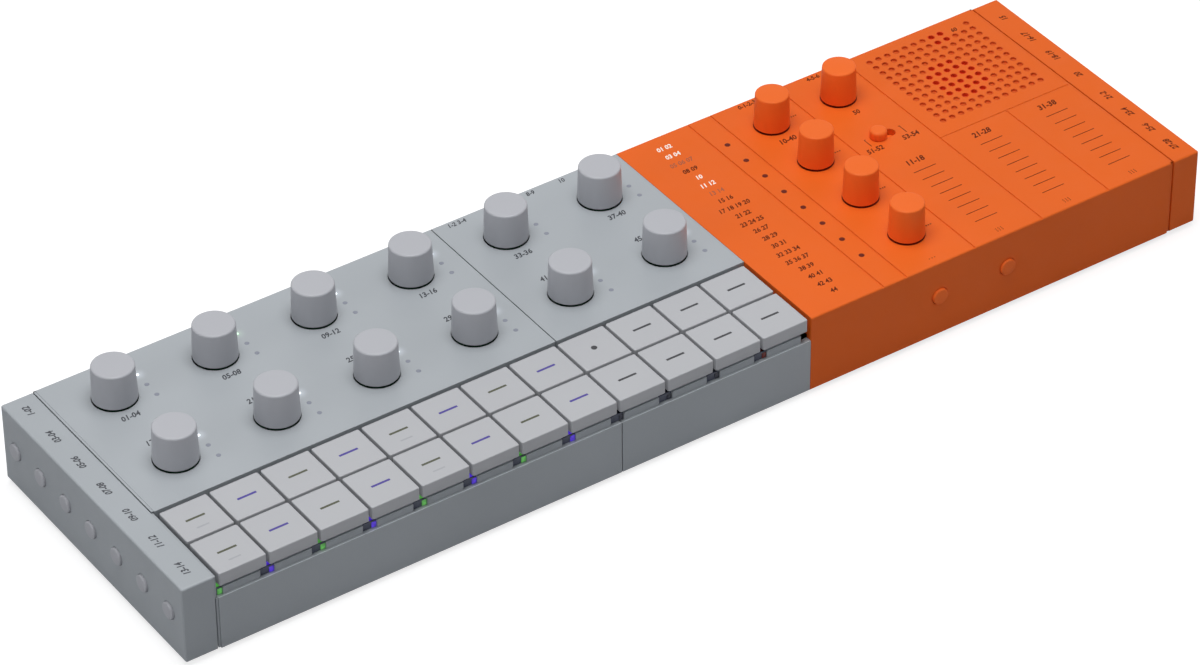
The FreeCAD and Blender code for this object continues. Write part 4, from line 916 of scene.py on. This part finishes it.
def make_stage():
    """A floor that is white to the camera and darker to the light that it throws back on the object."""
    size = STAGE["half_side"]
    corners = [(-size, -size, 0), (size, -size, 0), (size, size, 0), (-size, size, 0)]
    mesh = bpy.data.meshes.new("floor")
    mesh.from_pydata(corners, [], [(0, 1, 2, 3)])
    floor = bpy.data.objects.new("floor", mesh)
    bpy.context.scene.collection.objects.link(floor)
    material, tree, shader = new_material("floor_paint")
    seen = tree.nodes.new("ShaderNodeLightPath").outputs["Is Camera Ray"]
    pale = (STAGE["seen"],) * 3 + (1.0,)
    tree.links.new(mixed_colour(tree, seen, STAGE["unseen"], pale), shader.inputs["Base Color"])
    tree.links.new(mixed_colour(tree, seen, (0.0, 0.0, 0.0, 1.0), WHITE), shader.inputs["Emission Color"])
    shader.inputs["Emission Strength"].default_value = STAGE["lift"]
    shader.inputs["Roughness"].default_value = 0.9
    shader.inputs["Specular IOR Level"].default_value = 0.0
    mesh.materials.append(material)


def make_world():
    """White to the camera, in reflections and through glass, and an even dim light on the object."""
    world = bpy.data.worlds.new("studio")
    bpy.context.scene.world = world
    world.use_nodes = True
    tree = world.node_tree
    tree.nodes.clear()
    output = tree.nodes.new("ShaderNodeOutputWorld")
    background = tree.nodes.new("ShaderNodeBackground")
    paths = tree.nodes.new("ShaderNodeLightPath")
    seen = paths.outputs["Is Camera Ray"]
    for way in ("Is Glossy Ray", "Is Transmission Ray"):
        either = tree.nodes.new("ShaderNodeMath")
        either.operation = "MAXIMUM"
        tree.links.new(seen, either.inputs[0])
        tree.links.new(paths.outputs[way], either.inputs[1])
        seen = either.outputs["Value"]
    tree.links.new(mixed_colour(tree, seen, AMBIENT, WHITE), background.inputs["Color"])
    tree.links.new(background.outputs["Background"], output.inputs["Surface"])


def aimed(place, target, roll=0.0):
    """A matrix that stands at a place and looks at a target, with Z up in the picture, turned by the roll."""
    place, target = np.array(place, float), np.array(target, float)
    back = (place - target) / np.linalg.norm(place - target)
    right = np.cross((0, 0, 1), back)
    right /= np.linalg.norm(right)
    above = np.cross(back, right)
    c, s = math.cos(roll), math.sin(roll)
    axes = np.array([c * right + s * above, -s * right + c * above, back]).T
    matrix = np.eye(4)
    matrix[:3, :3] = axes
    matrix[:3, 3] = place * MM
    return Matrix(matrix.tolist())


# Square lamps, each with its place and target in millimetres, its side in metres and its power in watts
LAMPS = {
    "overhead": {"place": (-60, 0, 900), "target": (0, 0, 0), "size": 0.6, "power": 6.15},
    "right_fill": {"place": (600, -500, 250), "target": (100, 0, 15), "size": 0.4, "power": 0.35},
    "left_fill": {"place": (-1100, -100, 350), "target": (0, 0, 15), "size": 0.5, "power": 1.75},
}


def make_light(name, place, target, size, power):
    light = bpy.data.lights.new(name, "AREA")
    light.shape = "SQUARE"
    light.size = size
    light.energy = power
    item = bpy.data.objects.new(name, light)
    bpy.context.scene.collection.objects.link(item)
    item.matrix_world = aimed(place, target)


CAMERA = {
    "place": (-700.6985, -1022.3599, 960.9691),
    "target": (-8.0196, -3.2465, 11.6),
    "roll": -0.0083,
    "lens": 166.49,
    "sensor": 36.0,
}


def make_camera():
    data = bpy.data.cameras.new("camera")
    data.sensor_fit = "HORIZONTAL"
    data.sensor_width = CAMERA["sensor"]
    data.lens = CAMERA["lens"]
    data.clip_end = 100.0
    camera = bpy.data.objects.new("camera", data)
    bpy.context.scene.collection.objects.link(camera)
    camera.matrix_world = aimed(CAMERA["place"], CAMERA["target"], CAMERA["roll"])
    bpy.context.scene.camera = camera


dress_frame()
make_knobs()
make_keys()
make_knob_lamps()
make_guides()
make_buttons()
make_slide()
make_sound_holes()
make_cross_line()
make_trim()
make_feet()
make_labels()
make_marks()
make_stage()
make_world()
for name, lamp in LAMPS.items():
    make_light(name, **lamp)
make_camera()
bpy.context.scene.view_settings.view_transform = "Standard"
